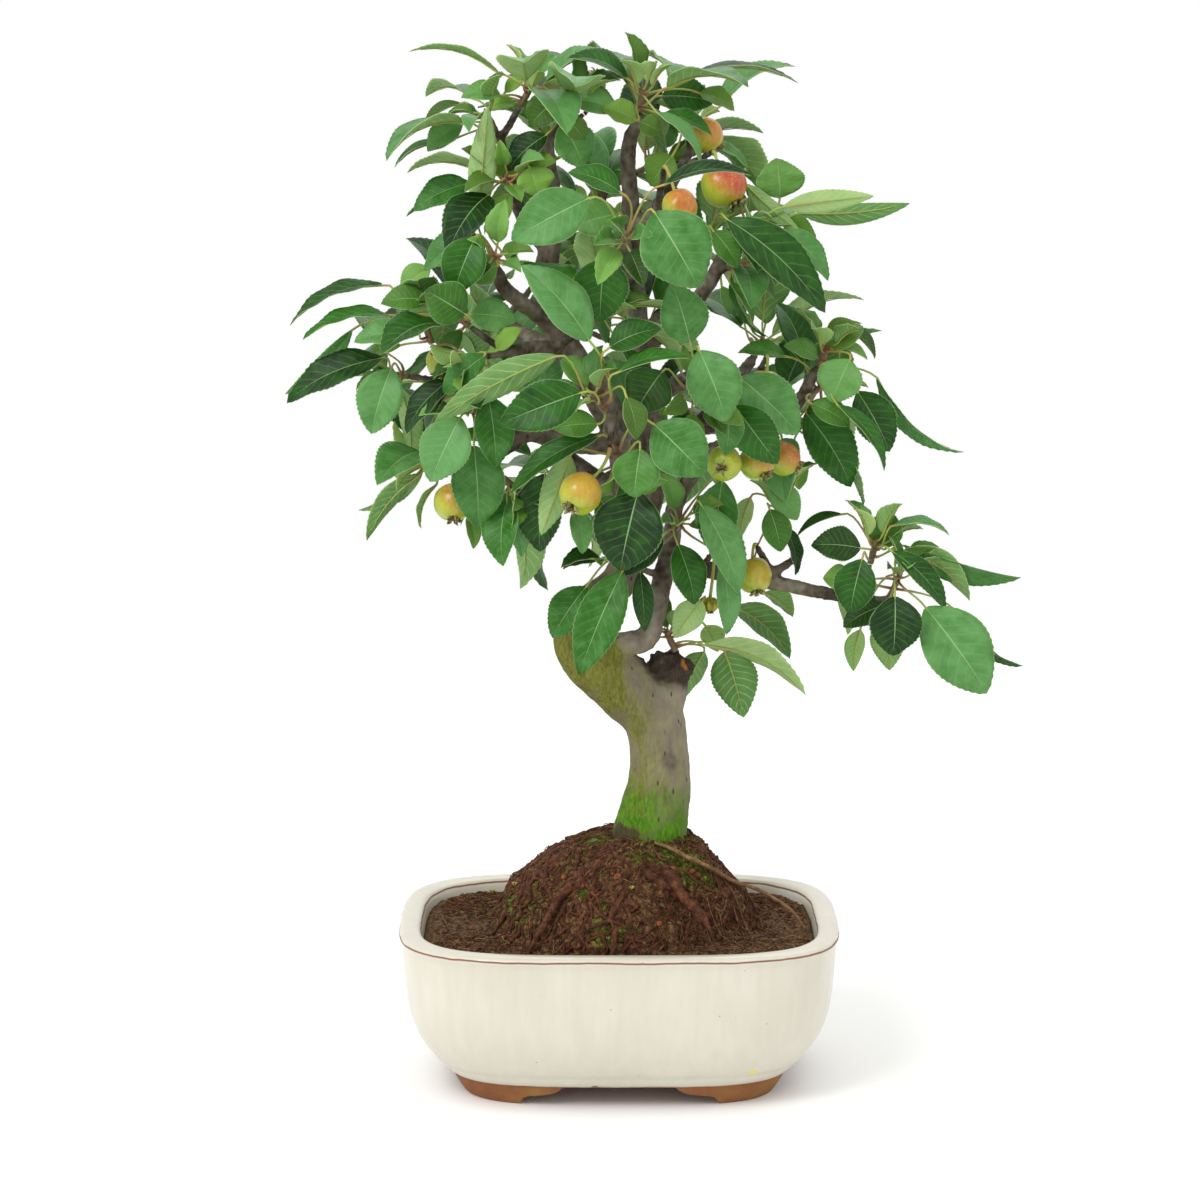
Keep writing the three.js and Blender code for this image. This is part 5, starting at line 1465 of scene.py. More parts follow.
class FruitCluster:
    """One or more fruits that hang from one seat."""

    SPUR = 2.5 * MM
    SPUR_RADIUS = 1.9 * MM

    def __init__(self, name: str, wood: Wood, rng: random.Random) -> None:
        """Finds where the stalks start.

        Args:
            name: Name of the node.
            wood: The wood that carries the fruit.
            rng: Source of small differences.
        """
        self.name = name
        seat_row, rows = FRUITS[name]
        seat = SHEET.place(*seat_row)
        self.way = (seat - wood.twig_root(seat)[0]).normalized()
        self.start = seat + self.way * 0.3 * MM
        self.fruits = [CrabApple(row, name == "fruit_withered", rng) for row in rows]

    def build(self) -> bpy.types.Mesh:
        """Builds the fruit with their stalks."""
        bm = bmesh.new()
        bm.verts.layers.float_color.new("pome")
        spur_end = self.start + self.way * self.SPUR
        alone = len(self.fruits) == 1
        root = self.start if alone else self.start.lerp(spur_end, 0.6)
        for fruit in self.fruits:
            fruit.grow(bm, root, self.way, spur_end)
        knob = [(0.0, 0.9), (0.35, 1.05), (0.7, 0.95), (1.0, 0.5)] if not alone else [(0.0, 0.7), (0.5, 0.6)]
        line = [Vector((*self.start.lerp(spur_end, h), r * self.SPUR_RADIUS)) for h, r in knob]
        sweep(bm, line, 10, CrabApple.SPUR)
        return mesh_of(bm, self.name)

    def dress(self) -> None:
        """Shows the fruit in place of its node."""
        materials = [Stuff.POME, Stuff.STEM, Stuff.CALYX, Stuff.ROOT]
        Piece(f"ripe_{self.name}", (self.name,), "pome").show(self.build(), [s.material for s in materials])


# ---------------------------------------------------------------- pot
def oblong(angle: float, half_width: float, half_depth: float, height: float,
           squareness: float = SQUARENESS) -> Vector:
    """Finds a point of a rounded oblong round the middle of the pot.

    Args:
        angle: Direction from the middle.
        half_width: Half its width, in mm.
        half_depth: Half its depth, in mm.
        height: Height of the point, in mm.
        squareness: Exponent of the outline.

    Returns:
        The point in the row frame, in metres.
    """
    power = 2 / squareness
    x = math.copysign(abs(math.cos(angle)) ** power, math.cos(angle)) * half_width
    y = math.copysign(abs(math.sin(angle)) ** power, math.sin(angle)) * half_depth
    return Vector((x, y, height)) * MM + ORIGIN


@dataclass(frozen=True)
class PotSizes:
    """Sizes of the pot, in mm. Outlines are rows of height, half width and half depth.

    Attributes:
        outside: From the middle of the underside up the glazed wall and over the lip.
        inside: From the lip down the inner wall to the floor.
        foot: The feet, from the ground up to the wall.
        foot_wall: Thickness of the feet.
        bracket: Half outline of the opening between two feet, as share of the way from the middle to the pad and
            height.
        pads: Half the distance between the pads along the front and along the side.
        gaps: Half the opening between the feet there.
        drains: Middles of the drain holes, from the middle of the pot.
    """

    segments: int = 144
    outside: tuple[Row, ...] = (
        (12, 20, 14), (12, 90, 68), (12, 97.6, 74.6), (12.6, 98.9, 75.9), (14.5, 101.2, 77.8), (17, 103.6, 80.0),
        (18.3, 104.5, 80.7), (19.2, 105.0, 81.1), (20.2, 106.6, 82.5), (22.5, 108.7, 84.4), (27, 112, 87.2),
        (34, 116.5, 91), (41, 119.6, 93.4), (48, 121.7, 95.1), (56, 123.1, 96.1), (66, 124.1, 96.9),
        (77, 124.9, 97.6), (86, 125.4, 98.1), (88.6, 125.9, 98.6), (90, 126.7, 99.3), (91, 127, 99.5),
        (91.8, 126.9, 99.4), (92.7, 126.3, 98.9), (93.5, 125.2, 97.8), (94, 123.6, 96.2), (94.1, 120, 92.6),
        (93.8, 117, 89.6),
    )
    inside: tuple[Row, ...] = (
        (93.2, 115.7, 88.3), (92, 114.8, 87.4), (89, 113.6, 86.2), (78, 112.9, 85.6), (60, 111.5, 84.5),
        (46, 107.9, 81.4), (34, 103, 77.5), (26, 96.5, 72), (23, 92.5, 68.5), (22, 89, 65), (22, 20, 14),
    )
    foot: tuple[Row, ...] = ((0, 91, 69), (0.6, 91.9, 69.9), (4, 94, 71.6), (8, 96.2, 73.4), (12.3, 97.5, 74.5))
    foot_wall: float = 13.0
    bracket: tuple[tuple[float, float], ...] = (
        (0.0, 13.0), (0.02, 12.4), (0.1, 10.2), (0.24, 8.2), (0.42, 6.9), (0.62, 6.2), (0.8, 5.6), (0.9, 4.4),
        (0.96, 2.4), (1.0, 0.0), (1.0, -1.0),
    )
    pads: tuple[float, float] = (57.0, 43.0)
    gaps: tuple[float, float] = (31.0, 24.0)
    drains: tuple[float, ...] = (-45.0, 45.0)
    drain_radius: float = 9.0


class Pot:
    """The glazed pot with its lip, bracket feet and drain holes."""

    def __init__(self, sizes: PotSizes) -> None:
        """Notes the sizes."""
        self.sizes = sizes

    def stack(self, bm: bmesh.types.BMesh, rows: Sequence[Row], close: bool = True) -> list:
        """Raises a stack of rounded oblongs.

        Args:
            bm: The mesh to add to.
            rows: Height, half width and half depth of each.
            close: Whether the first and last outlines are filled.

        Returns:
            The faces.
        """
        count = self.sizes.segments
        ring = bmesh.ops.create_circle(bm, cap_ends=close, segments=count, radius=1.0)["verts"]
        edges = list(dict.fromkeys(edge for vert in ring for edge in vert.link_edges))
        faces = list(ring[0].link_faces)
        angles = [math.atan2(vert.co.y, vert.co.x) for vert in ring]
        for i, (height, half_width, half_depth) in enumerate(rows):
            if i:
                ring, edges, more = grow_ring(bm, edges)
                faces += more
                angles = [math.atan2(*reversed(self._unit(vert.co, rows[i - 1]))) for vert in ring]
            for vert, angle in zip(ring, angles):
                vert.co = oblong(angle, half_width, half_depth, height)
        if close:
            faces += bmesh.ops.contextual_create(bm, geom=edges)["faces"]
        return faces

    @staticmethod
    def _unit(point: Vector, row: Row) -> tuple[float, float]:
        """Cosine and sine of the angle at which oblong gave a point of the row's oblong."""
        flat = (point - ORIGIN) / MM
        return tuple(math.copysign(abs(flat[i] / row[i + 1]) ** (SQUARENESS / 2), flat[i]) for i in (0, 1))

    def _opening(self, along_y: bool) -> bpy.types.Object:
        """Makes the cutter for the openings between the feet.

        Args:
            along_y: Whether it runs from front to back.

        Returns:
            The cutter.
        """
        which = 0 if along_y else 1
        gap, pad = self.sizes.gaps[which], self.sizes.pads[which]
        half = [(gap + (pad - gap) * share, height) for share, height in self.sizes.bracket]
        outline = [(-x, z) for x, z in reversed(half)] + half
        bm = bmesh.new()
        verts = [bm.verts.new(Vector((x, -200, z) if along_y else (-200, x, z)) * MM + ORIGIN) for x, z in outline]
        face = bm.faces.new(verts)
        grown = bmesh.ops.extrude_face_region(bm, geom=[face])["geom"]
        shift = Vector((0, 400, 0) if along_y else (400, 0, 0)) * MM
        bmesh.ops.translate(bm, vec=shift, verts=[item for item in grown if isinstance(item, bmesh.types.BMVert)])
        return self._tool(bm)

    @staticmethod
    def _tool(bm: bmesh.types.BMesh) -> bpy.types.Object:
        """Puts a cutter in the scene for as long as it is needed.

        Args:
            bm: Its mesh, which is used up.

        Returns:
            The cutter.
        """
        tool = bpy.data.objects.new("cutter", mesh_of(bm, "cutter"))
        bpy.context.scene.collection.objects.link(tool)
        return tool

    @staticmethod
    def _cut(mesh: bpy.types.Mesh, tools: Sequence[bpy.types.Object]) -> bpy.types.Mesh:
        """Cuts a mesh with tools, which are then removed.

        Args:
            mesh: The mesh, which is used up.
            tools: The cutters.

        Returns:
            The cut mesh.
        """
        cuts = [("BOOLEAN", {"operation": "DIFFERENCE", "object": tool, "solver": "EXACT"}) for tool in tools]
        made = evaluated(mesh, *cuts)
        for tool in tools:
            shape = tool.data
            bpy.data.objects.remove(tool)
            bpy.data.meshes.remove(shape)
        return made

    def build(self) -> bpy.types.Mesh:
        """Builds the bowl and the feet."""
        sizes = self.sizes
        bowl = bmesh.new()
        smooth(self.stack(bowl, [*sizes.outside, *sizes.inside]))
        drains = []
        for x in sizes.drains:
            drain = bmesh.new()
            bmesh.ops.create_cone(drain, cap_ends=True, segments=40, radius1=sizes.drain_radius * MM,
                                  radius2=sizes.drain_radius * MM, depth=30 * MM,
                                  matrix=Matrix.Translation(Vector((x, 0, 17)) * MM + ORIGIN))
            drains.append(self._tool(drain))
        bowl_mesh = self._cut(mesh_of(bowl, "bowl"), drains)
        skirt = bmesh.new()
        inner = [(h, w - sizes.foot_wall, d - sizes.foot_wall) for h, w, d in reversed(sizes.foot)]
        self.stack(skirt, [*sizes.foot, *inner, sizes.foot[0]], close=False)
        bmesh.ops.remove_doubles(skirt, verts=skirt.verts, dist=0.01 * MM)
        feet_mesh = self._cut(mesh_of(skirt, "feet"), [self._opening(True), self._opening(False)])
        bm = bmesh.new()
        bm.from_mesh(bowl_mesh)
        bare = len(bm.faces)
        bm.from_mesh(feet_mesh)
        bm.faces.ensure_lookup_table()
        for face in bm.faces[bare:]:
            face.material_index = 1
            face.smooth = False
        for face in bm.faces[:bare]:
            middle = (face.calc_center_median() - ORIGIN) / MM
            hidden = middle.z < 78 and abs(middle.x) < 114 and abs(middle.y) < 87 and face.normal.z > -0.2
            inward = face.normal.x * middle.x + face.normal.y * middle.y < 0 or abs(face.normal.z) > 0.9
            face.material_index = 1 if (hidden and inward) or middle.z < 12.05 else 0
        for used in (bowl_mesh, feet_mesh):
            bpy.data.meshes.remove(used)
        return mesh_of(bm, "pot", outward=False)

    def dress(self) -> None:
        """Shows the pot in place of its node, and gives the nets over its drain holes their plastic."""
        Piece("glazed_pot", ("pot",), "glazed_stoneware").show(
            self.build(), [Stuff.GLAZE.material, Stuff.CLAY.material])
        for name in ("drain_screen_1", "drain_screen_2"):
            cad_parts[name].material_slots[0].material = Stuff.NET.material


# ---------------------------------------------------------------- root ball and soil
@dataclass(frozen=True)
class MoundSizes:
    """The mound of the root ball: rows of height, middle across, half width and half depth, in mm."""

    segments: int = 170
    rings: int = 84
    profile: tuple[Row, ...] = (
        (55, 0, 72, 60), (86, 0, 78, 66), (106, 0, 69, 59), (122, 2, 56, 49), (135, 8, 40, 37), (142, 14, 25, 24),
        (144, 15, 6, 6),
    )
    lumps: tuple[Row, ...] = ((3, 0.05, 1.2, 0.0), (5, 0.03, 0.6, 1.0))


class Ground:
    """The surface of root ball and soil as seen from above, onto which roots and litter are draped."""

    def __init__(self, meshes: Sequence[bpy.types.Mesh]) -> None:
        """Makes the surface ready for rays.

        Args:
            meshes: The meshes of root ball and soil.
        """
        verts: list[Vector] = []
        polygons: list[list[int]] = []
        for mesh in meshes:
            start = len(verts)
            verts += [vert.co.copy() for vert in mesh.vertices]
            for polygon in mesh.polygons:
                corners = [start + i for i in polygon.vertices]
                first = corners.index(min(corners))
                polygons.append(corners[first:] + corners[:first])
        polygons.sort()  # bmesh makes its faces in an order of its own each run, which would settle ties
        self.tree = BVHTree.FromPolygons(verts, polygons)

    def seen(self, across: float, down: float) -> tuple[Vector, Vector] | None:
        """Finds the surface behind a place on the sheet.

        Args:
            across: Steps from the sheet's left edge.
            down: Steps from its top.

        Returns:
            The point and the surface's normal, or None.
        """
        eye = SHEET.eye * MM + ORIGIN
        point, normal, _, _ = self.tree.ray_cast(eye, SHEET.ray(across, down).normalized())
        return (point, normal) if point else None

    def nearest(self, point: Vector) -> tuple[Vector, Vector]:
        """Finds the nearest point of the surface and its normal."""
        hit, normal, _, _ = self.tree.find_nearest(point)
        return hit, normal

    def below(self, x: float, y: float) -> tuple[Vector, Vector] | None:
        """Finds the surface straight below a point over the pot.

        Args:
            x: Millimetres to the right of the pot's middle.
            y: Millimetres behind it.

        Returns:
            The point and the surface's normal, or None.
        """
        top = Vector((x, y, 260.0)) * MM + ORIGIN
        point, normal, _, _ = self.tree.ray_cast(top, -UP)
        return (point, normal) if point else None


class RootBall:
    """The mound of earth matted with roots that carries the tree."""

    def __init__(self, sizes: MoundSizes) -> None:
        """Notes the sizes."""
        self.sizes = sizes

    def point(self, angle: float, share: float) -> Vector:
        """Finds a point of the mound.

        Args:
            angle: Direction from the mound's middle.
            share: Share of the way up, from 0 to 1.

        Returns:
            The point, in mm from the middle of the pot.
        """
        spot = share * (len(self.sizes.profile) - 1)
        lump = 1 + sum(size * math.sin(waves * angle + start + turn * spot)
                       for waves, size, start, turn in self.sizes.lumps)
        height, middle, half_width, half_depth = between(self.sizes.profile, spot)
        return Vector((middle + math.cos(angle) * half_width * lump, math.sin(angle) * half_depth * lump, height))

    def build(self) -> bpy.types.Mesh:
        """Builds the mound with its lumps and hollows."""
        sizes = self.sizes
        bm = bmesh.new()
        ring = bmesh.ops.create_circle(bm, cap_ends=True, segments=sizes.segments, radius=1.0)["verts"]
        angles = [math.atan2(vert.co.y, vert.co.x) for vert in ring]
        edges = list(dict.fromkeys(edge for vert in ring for edge in vert.link_edges))
        for i in range(sizes.rings + 1):
            if i:
                ring, edges, _ = grow_ring(bm, edges)
            share = (i / sizes.rings) ** 0.8
            for vert, angle in zip(ring, angles):
                point = self.point(angle, share)
                out = spoke(angle, 0.7).normalized()
                loose = ease(60, 84, point.z)
                lump = 3.0 * noise.noise(point / 13) + 1.9 * noise.fractal(point / 5, 0.9, 2.0, 3)
                fine = 0.8 * noise.fractal(point / 1.9, 0.8, 2.0, 2)
                vert.co = (point + out * (lump + fine + 0.6) * loose) * MM + ORIGIN
        bmesh.ops.contextual_create(bm, geom=edges)
        smooth(bm.faces)
        return mesh_of(bm, "root_ball")


# The roots that show on the front of the mound, as places on the sheet, with their radius in mm at both ends
SHOWN_ROOTS: tuple[tuple[tuple[tuple[float, float], ...], float, float], ...] = (
    (((646, 872), (660, 884), (676, 896), (699, 907)), 2.9, 1.9),
    (((627, 884), (622, 898), (613, 914), (603, 929)), 2.2, 1.2),
    (((566, 903), (558, 920), (553, 934), (549, 949)), 1.5, 0.8),
    (((590, 898), (592, 914), (590, 930)), 1.2, 0.7),
    (((588, 868), (606, 868), (624, 864)), 1.1, 0.9),
    (((575, 872), (585, 884), (597, 890)), 1.7, 1.0),
    (((636, 882), (646, 894), (653, 906)), 0.9, 0.6),
    (((527, 880), (534, 896), (536, 910)), 0.8, 0.5),
    (((660, 920), (646, 934), (628, 945)), 1.0, 0.6),
    (((733, 905), (745, 916), (750, 924)), 0.9, 0.5),
    (((580, 850), (578, 862), (573, 876)), 1.8, 1.2),
    (((540, 870), (548, 888), (556, 902)), 1.6, 1.0),
    (((608, 842), (618, 858), (634, 866)), 1.5, 1.0),
    (((682, 868), (700, 884), (716, 892)), 1.4, 0.8),
    (((556, 846), (548, 862), (546, 880)), 2.0, 1.3),
    (((690, 905), (704, 915), (712, 923)), 1.8, 1.5),
    (((505, 905), (522, 906), (540, 902)), 0.7, 0.5),
    (((612, 900), (620, 915), (618, 930)), 0.8, 0.5),
)
# The places on the sheet where roots were cut, with the radius of the cut in mm
CUT_ROOTS: tuple[tuple[float, float, float], ...] = (
    (557, 848, 3.0), (581, 884, 3.2), (565, 878, 2.4), (556, 868, 2.4), (618, 878, 2.8), (576, 868, 1.8),
    (671, 871, 2.8), (697, 876, 2.4), (659, 923, 2.2), (729, 894, 2.6), (612, 875, 1.6), (699, 913, 2.6),
    (594, 852, 2.0), (692, 871, 1.8),
)
# A slender root that comes out of the trunk's foot, crosses the mound and ends on the soil: places on the sheet with
# depth and radius in mm
SLENDER_ROOT: tuple[Row, ...] = (
    (648, 842, -20, 1.0), (668, 847, -30, 1.1), (687, 857, -32, 1.3), (709, 867, -28, 1.2), (733, 881, -16, 1.2),
    (757, 889, -6, 1.1), (778, 901, -4, 1.0), (793, 912, -8, 0.9), (805, 929, -12, 0.7),
)
# Where moss grows on the side that is seen: places on the sheet and the patch's width and height
MOSS_PATCHES: tuple[Row, ...] = (
    (588, 841, 26, 5), (604, 838, 16, 6), (650, 840, 26, 4), (686, 840, 14, 8), (690, 866, 26, 16), (668, 858, 20, 12),
    (706, 880, 14, 12), (640, 857, 16, 5), (520, 902, 40, 16), (584, 894, 6, 6), (606, 932, 26, 8), (600, 905, 5, 8),
)


class Earth:
    """Soil, root ball, and what lies on and grows out of them."""

    MATERIALS = (Stuff.SOIL, Stuff.ROOT, Stuff.STRAW, Stuff.CUT, Stuff.MOSS, Stuff.STEM)
    ROOT, STRAW, CUT, MOSS, STEM = range(1, 6)  # their numbers, after the soil's
    FINE_ROOTS, MOUND_CRUMBS, TUFT_COUNT = 420, 500, 900
    SOIL_CRUMBS, FIBRES = 1100, 900
    QUICK_SHARE = 0.3
    EDGE = (112.8, 85.4)  # half width and half depth in mm of the soil's surface
    SOIL_WALL = ((24.2, 90, 66), (26, 96, 71.5), (34, 102.5, 77), (46, 107.4, 80.9), (60, 111, 84), (78, 112.4, 85.1),
                 (84.6, *EDGE))
    SOIL_STEPS = 62  # rings of the surface
    SPROUTS = ((608, 940), (515, 886), (631, 890), (492, 893))  # places on the sheet
    # Patches of moss all round: place, width and depth in mm from the middle of the pot
    TUFTS = ((-38, -28, 26, 16), (-20, -22, 16, 12), (40, -32, 18, 16), (30, -46, 14, 10), (52, -18, 14, 14),
             (-60, -50, 26, 14), (70, 30, 22, 20), (-70, 30, 30, 26))
    MOSS_TOP = 150 * MM  # moss grows on no higher ground
    CUT_SKIN = ((-3.0, 1.25), (-0.8, 1.12), (0.9, 1.05), (1.5, 1.0))  # height in mm and share of the radius
    CUT_FACE = ((1.0, 0.8), (1.5, 0.72))

    def __init__(self, mound: RootBall, rng: random.Random) -> None:
        """Builds the two surfaces.

        Args:
            mound: The root ball.
            rng: Source of the scatter.
        """
        self.mound = mound
        self.rng = rng
        self.mound_mesh = mound.build()
        self.soil_mesh = self._soil()
        self.ground = Ground([self.mound_mesh, self.soil_mesh])
        hits = [(self.ground.seen(row[0], row[1]), 0.36 * (row[2] + row[3]) * MM) for row in MOSS_PATCHES]
        self.patches = [(hit[0], reach) for hit, reach in hits if hit]
        self._film(self.mound_mesh)
        self._film(self.soil_mesh)

    def _soil(self) -> bpy.types.Mesh:
        """Builds the soil, which fills the pot to just under its lip."""
        wide, deep = self.EDGE
        shares = [(1 - i / self.SOIL_STEPS) ** 0.9 for i in range(self.SOIL_STEPS)]
        bm = bmesh.new()
        smooth(Pot(PotSizes(segments=260)).stack(bm, [*self.SOIL_WALL, *((86.0, wide * s, deep * s) for s in shares)]))
        for vert in bm.verts:
            point = (vert.co - ORIGIN) / MM
            if point.z > 85.5:
                share = max(abs(point.x) / wide, abs(point.y) / deep)
                rise = 1.3 * ease(1.0, 0.55, share) - 1.2 * ease(0.93, 1.0, share)
                rough = 1.3 * noise.noise(point / 15) + 1.5 * noise.fractal(point / 3.2, 0.9, 2.0, 3)
                vert.co.z += (rise + rough + 0.5) * MM
        return mesh_of(bm, "soil")

    def _film(self, mesh: bpy.types.Mesh) -> None:
        """Paints where a film of moss covers a surface.

        Args:
            mesh: The surface.
        """
        film = mesh.attributes.new("moss", "FLOAT", "POINT")
        for i, vert in enumerate(mesh.vertices):
            film.data[i].value = max(0.8 * ease(1.25 * reach, 0.4 * reach, (vert.co - middle).length)
                                     for middle, reach in self.patches)

    def _crumbs(self, bm: bmesh.types.BMesh, count: int, centre: bool) -> None:
        """Scatters crumbs of soil.

        Args:
            bm: The mesh to add to.
            count: Number of crumbs.
            centre: Whether they lie on the mound rather than anywhere in the pot.
        """
        rng = self.rng
        ball = bmesh.new()
        bmesh.ops.create_icosphere(ball, subdivisions=1, radius=1.0)
        pattern = mesh_of(ball, "crumb")
        wide, deep, squareness = (76, 64, 2.4) if centre else (110, 83, SQUARENESS)
        for _ in range(count):
            angle, reach = rng.uniform(0, 2 * math.pi), rng.random() ** 0.5
            flat = (oblong(angle, wide * reach, deep * reach, 0, squareness) - ORIGIN) / MM
            hit = self.ground.below(flat.x, flat.y)
            if not hit:
                continue
            radius = rng.uniform(0.5, 1.7) * rng.uniform(0.6, 1.0) * MM
            turn = Vector((rng.uniform(-1, 1), rng.uniform(-1, 1), rng.uniform(-1, 1))).to_track_quat("Z", "Y")
            scale = Vector((radius, radius * rng.uniform(0.5, 1.0), radius * rng.uniform(0.4, 0.8)))
            stamp(bm, pattern, Matrix.LocRotScale(hit[0] + hit[1] * radius * 0.2, turn, scale))
        bpy.data.meshes.remove(pattern)

    def _draped(self, path: Sequence[Vector], radii: tuple[float, float], lift: float, sink: bool) -> Line:
        """Lays a path on the ground.

        Args:
            path: Rough points of the path.
            radii: Radius in mm at the start and at the end.
            lift: Height over the ground as a share of the radius.
            sink: Whether both ends dip into the ground.

        Returns:
            The line.
        """
        line = []
        for i, point in enumerate(path):
            share = i / (len(path) - 1)
            radius = radii[0] + (radii[1] - radii[0]) * share
            hit, normal = self.ground.nearest(point)
            bury = 1.6 * radius * (ease(0.12, 0.0, share) + ease(0.85, 1.0, share)) if sink else 0.0
            line.append(Vector((*(hit + normal * (radius * lift - bury) * MM), radius * MM)))
        return line

    def _fine_roots(self, bm: bmesh.types.BMesh, count: int) -> None:
        """Runs fine roots down the mound.

        Args:
            bm: The mesh to add to.
            count: Number of roots.
        """
        rng = self.rng
        for _ in range(count):
            angle, high = rng.uniform(0, 2 * math.pi), rng.uniform(0.25, 0.93)
            drop, drift = rng.uniform(0.12, 0.5), rng.uniform(-0.55, 0.55)
            seed = Vector((rng.uniform(0, 99), 0, 0))
            path = []
            for i in range(10):
                t = i / 9
                wander = 0.09 * noise.noise(seed + Vector((t * 3, 0, 0)))
                share = max(0.13, high - drop * t + 0.06 * noise.noise(seed + Vector((0, t * 4, 0))))
                path.append(self.mound.point(angle + drift * t + wander * 3, share) * MM + ORIGIN)
            if any((path[5] - middle).length < 0.9 * reach for middle, reach in self.patches[:7]):
                continue
            pale = rng.random() < 0.12
            radius = rng.choice((0.35, 0.45) if pale else (0.4, 0.5, 0.6, 0.75, 1.0, 1.4))
            line = self._draped(path, (radius, radius * 0.6), rng.uniform(0.2, 1.2), True)
            sweep(bm, line, 5, self.STRAW if pale else self.ROOT)

    def _shown_roots(self, bm: bmesh.types.BMesh) -> None:
        """Adds the roots and cut stubs that show on the front.

        Args:
            bm: The mesh to add to.
        """
        for path, start, end in SHOWN_ROOTS:
            hits = [self.ground.seen(*place) for place in path]
            points = soft_line([Vector((*hit[0], 0.0)) for hit in hits if hit], 5)
            line = self._draped([point.to_3d() for point in points], (start, end), 0.45, True)
            for vert in sweep(bm, line, 9, self.ROOT):
                vert.co += noise.noise_vector(vert.co * 420) * 0.3 * MM
        eye, slender = SHEET.eye * MM + ORIGIN, []
        for across, down, depth, radius in SLENDER_ROOT:
            point, hit = SHEET.place(across, down, depth), self.ground.seen(across, down)
            if hit and (hit[0] - eye).length < (point - eye).length:
                point = hit[0] + hit[1] * radius * 0.7 * MM
            slender.append(Vector((*point, radius * MM)))
        for vert in sweep(bm, soft_line(slender, 6), 9, self.STRAW):
            vert.co += noise.noise_vector(vert.co * 300) * 0.35 * MM
        for across, down, radius in CUT_ROOTS:
            hit = self.ground.seen(across, down)
            if not hit:
                continue
            way = (hit[1] + Vector((0.0, -0.6, 0.1))).normalized()
            skin, face = ([Vector((*(hit[0] + way * (h * MM)), r * radius * MM)) for h, r in rows]
                          for rows in (self.CUT_SKIN, self.CUT_FACE))
            sweep(bm, skin, 10, self.ROOT)
            for vert in sweep(bm, face, 10, self.CUT):
                vert.co += noise.noise_vector(vert.co * 260) * 0.9 * MM

    def _moss(self, bm: bmesh.types.BMesh, count: int) -> None:
        """Sets tufts of moss on the mound's shoulder and at the foot of the trunk.

        Args:
            bm: The mesh to add to.
            count: Number of tufts.
        """
        rng = self.rng
        tuft = bmesh.new()
        for i in range(5):
            tip = spoke(2.51 * i) * 0.7 + UP
            sweep(tuft, [Vector((0, 0, -0.4, 0.28)), Vector((*(tip * 0.6), 0.2)), Vector((*tip, 0.02))], 3, self.MOSS)
        pattern = mesh_of(tuft, "tuft")
        for i in range(count):
            x, y, wide, deep = rng.choice(self.TUFTS if i % 3 == 0 else MOSS_PATCHES)
            find = self.ground.below if i % 3 == 0 else self.ground.seen
            hit = find(x + rng.gauss(0, 0.5) * wide, y + rng.gauss(0, 0.5) * deep)
            if not hit or hit[0].z > self.MOSS_TOP:
                continue
            size = rng.uniform(0.6, 1.5) * MM
            turn = (hit[1] + Vector((rng.uniform(-0.4, 0.4), rng.uniform(-0.4, 0.4), 0))).to_track_quat("Z", "Y")
            stamp(bm, pattern, Matrix.LocRotScale(hit[0], turn, Vector((size, size, size))))
        bpy.data.meshes.remove(pattern)

    def _litter(self, bm: bmesh.types.BMesh, count: int) -> None:
        """Scatters curved fibres and straw on the soil.

        Args:
            bm: The mesh to add to.
            count: Number of fibres.
        """
        rng = self.rng
        for _ in range(count):
            angle, reach = rng.uniform(0, 2 * math.pi), rng.random() ** 0.4
            flat = (oblong(angle, 108 * reach, 81 * reach, 0) - ORIGIN) / MM
            heading, turn = rng.uniform(0, 2 * math.pi), rng.uniform(-0.5, 0.5)
            length = rng.uniform(5, 22)
            x, y = flat.x, flat.y
            points = []
            for _ in range(6):
                hit = self.ground.below(x, y)
                if hit and abs(x) < 110 and abs(y) < 83:
                    points.append(hit[0] + hit[1] * rng.uniform(0.1, 1.1) * MM)
                x += math.cos(heading) * length / 6
                y += math.sin(heading) * length / 6
                heading += turn
            if len(points) < 4:
                continue
            straw = rng.random() < (0.4 if flat.x > 30 else 0.22)
            radius = rng.uniform(0.22, 0.5 if straw else 0.6)
            line = [Vector((*point, radius * MM * (1 - 0.4 * i / len(points)))) for i, point in enumerate(points)]
            sweep(bm, line, 4, self.STRAW if straw else self.ROOT)

    def _sprouts(self, bm: bmesh.types.BMesh) -> None:
        """Adds four tiny green seedlings on the soil."""
        for hit in filter(None, (self.ground.seen(*place) for place in self.SPROUTS)):
            for i in range(6):
                out = spoke(1.05 * i) * 2.0 * MM
                line = [Vector((*hit[0], 0.25 * MM)), Vector((*(hit[0] + out * 0.5 + UP * 1.6 * MM), 0.75 * MM)),
                        Vector((*(hit[0] + out + UP * 2.2 * MM), 0.1 * MM))]
                sweep(bm, soft_line(line, 3), 6, self.STEM, 0.3)

    def dress(self) -> None:
        """Shows root ball and soil in place of their nodes, with the loose bits that belong to each."""
        share = 1.0
        for name, base, slot, additions in (
                ("root_ball", self.mound_mesh, "root_and_earth",
                 (self._shown_roots, partial(self._fine_roots, count=int(self.FINE_ROOTS * share)),
                  partial(self._crumbs, count=int(self.MOUND_CRUMBS * share), centre=True),
                  partial(self._moss, count=int(self.TUFT_COUNT * share)))),
                ("soil", self.soil_mesh, "potting_soil",
                 (partial(self._crumbs, count=int(self.SOIL_CRUMBS * share), centre=False),
                  partial(self._litter, count=int(self.FIBRES * share)), self._sprouts))):
            bm = bmesh.new()
            append(bm, base)
            for add in additions:
                add(bm)
            Piece(f"{name}_with_fibres", (name,), slot).show(
                mesh_of(bm, name, outward=False), [stuff.material for stuff in self.MATERIALS])


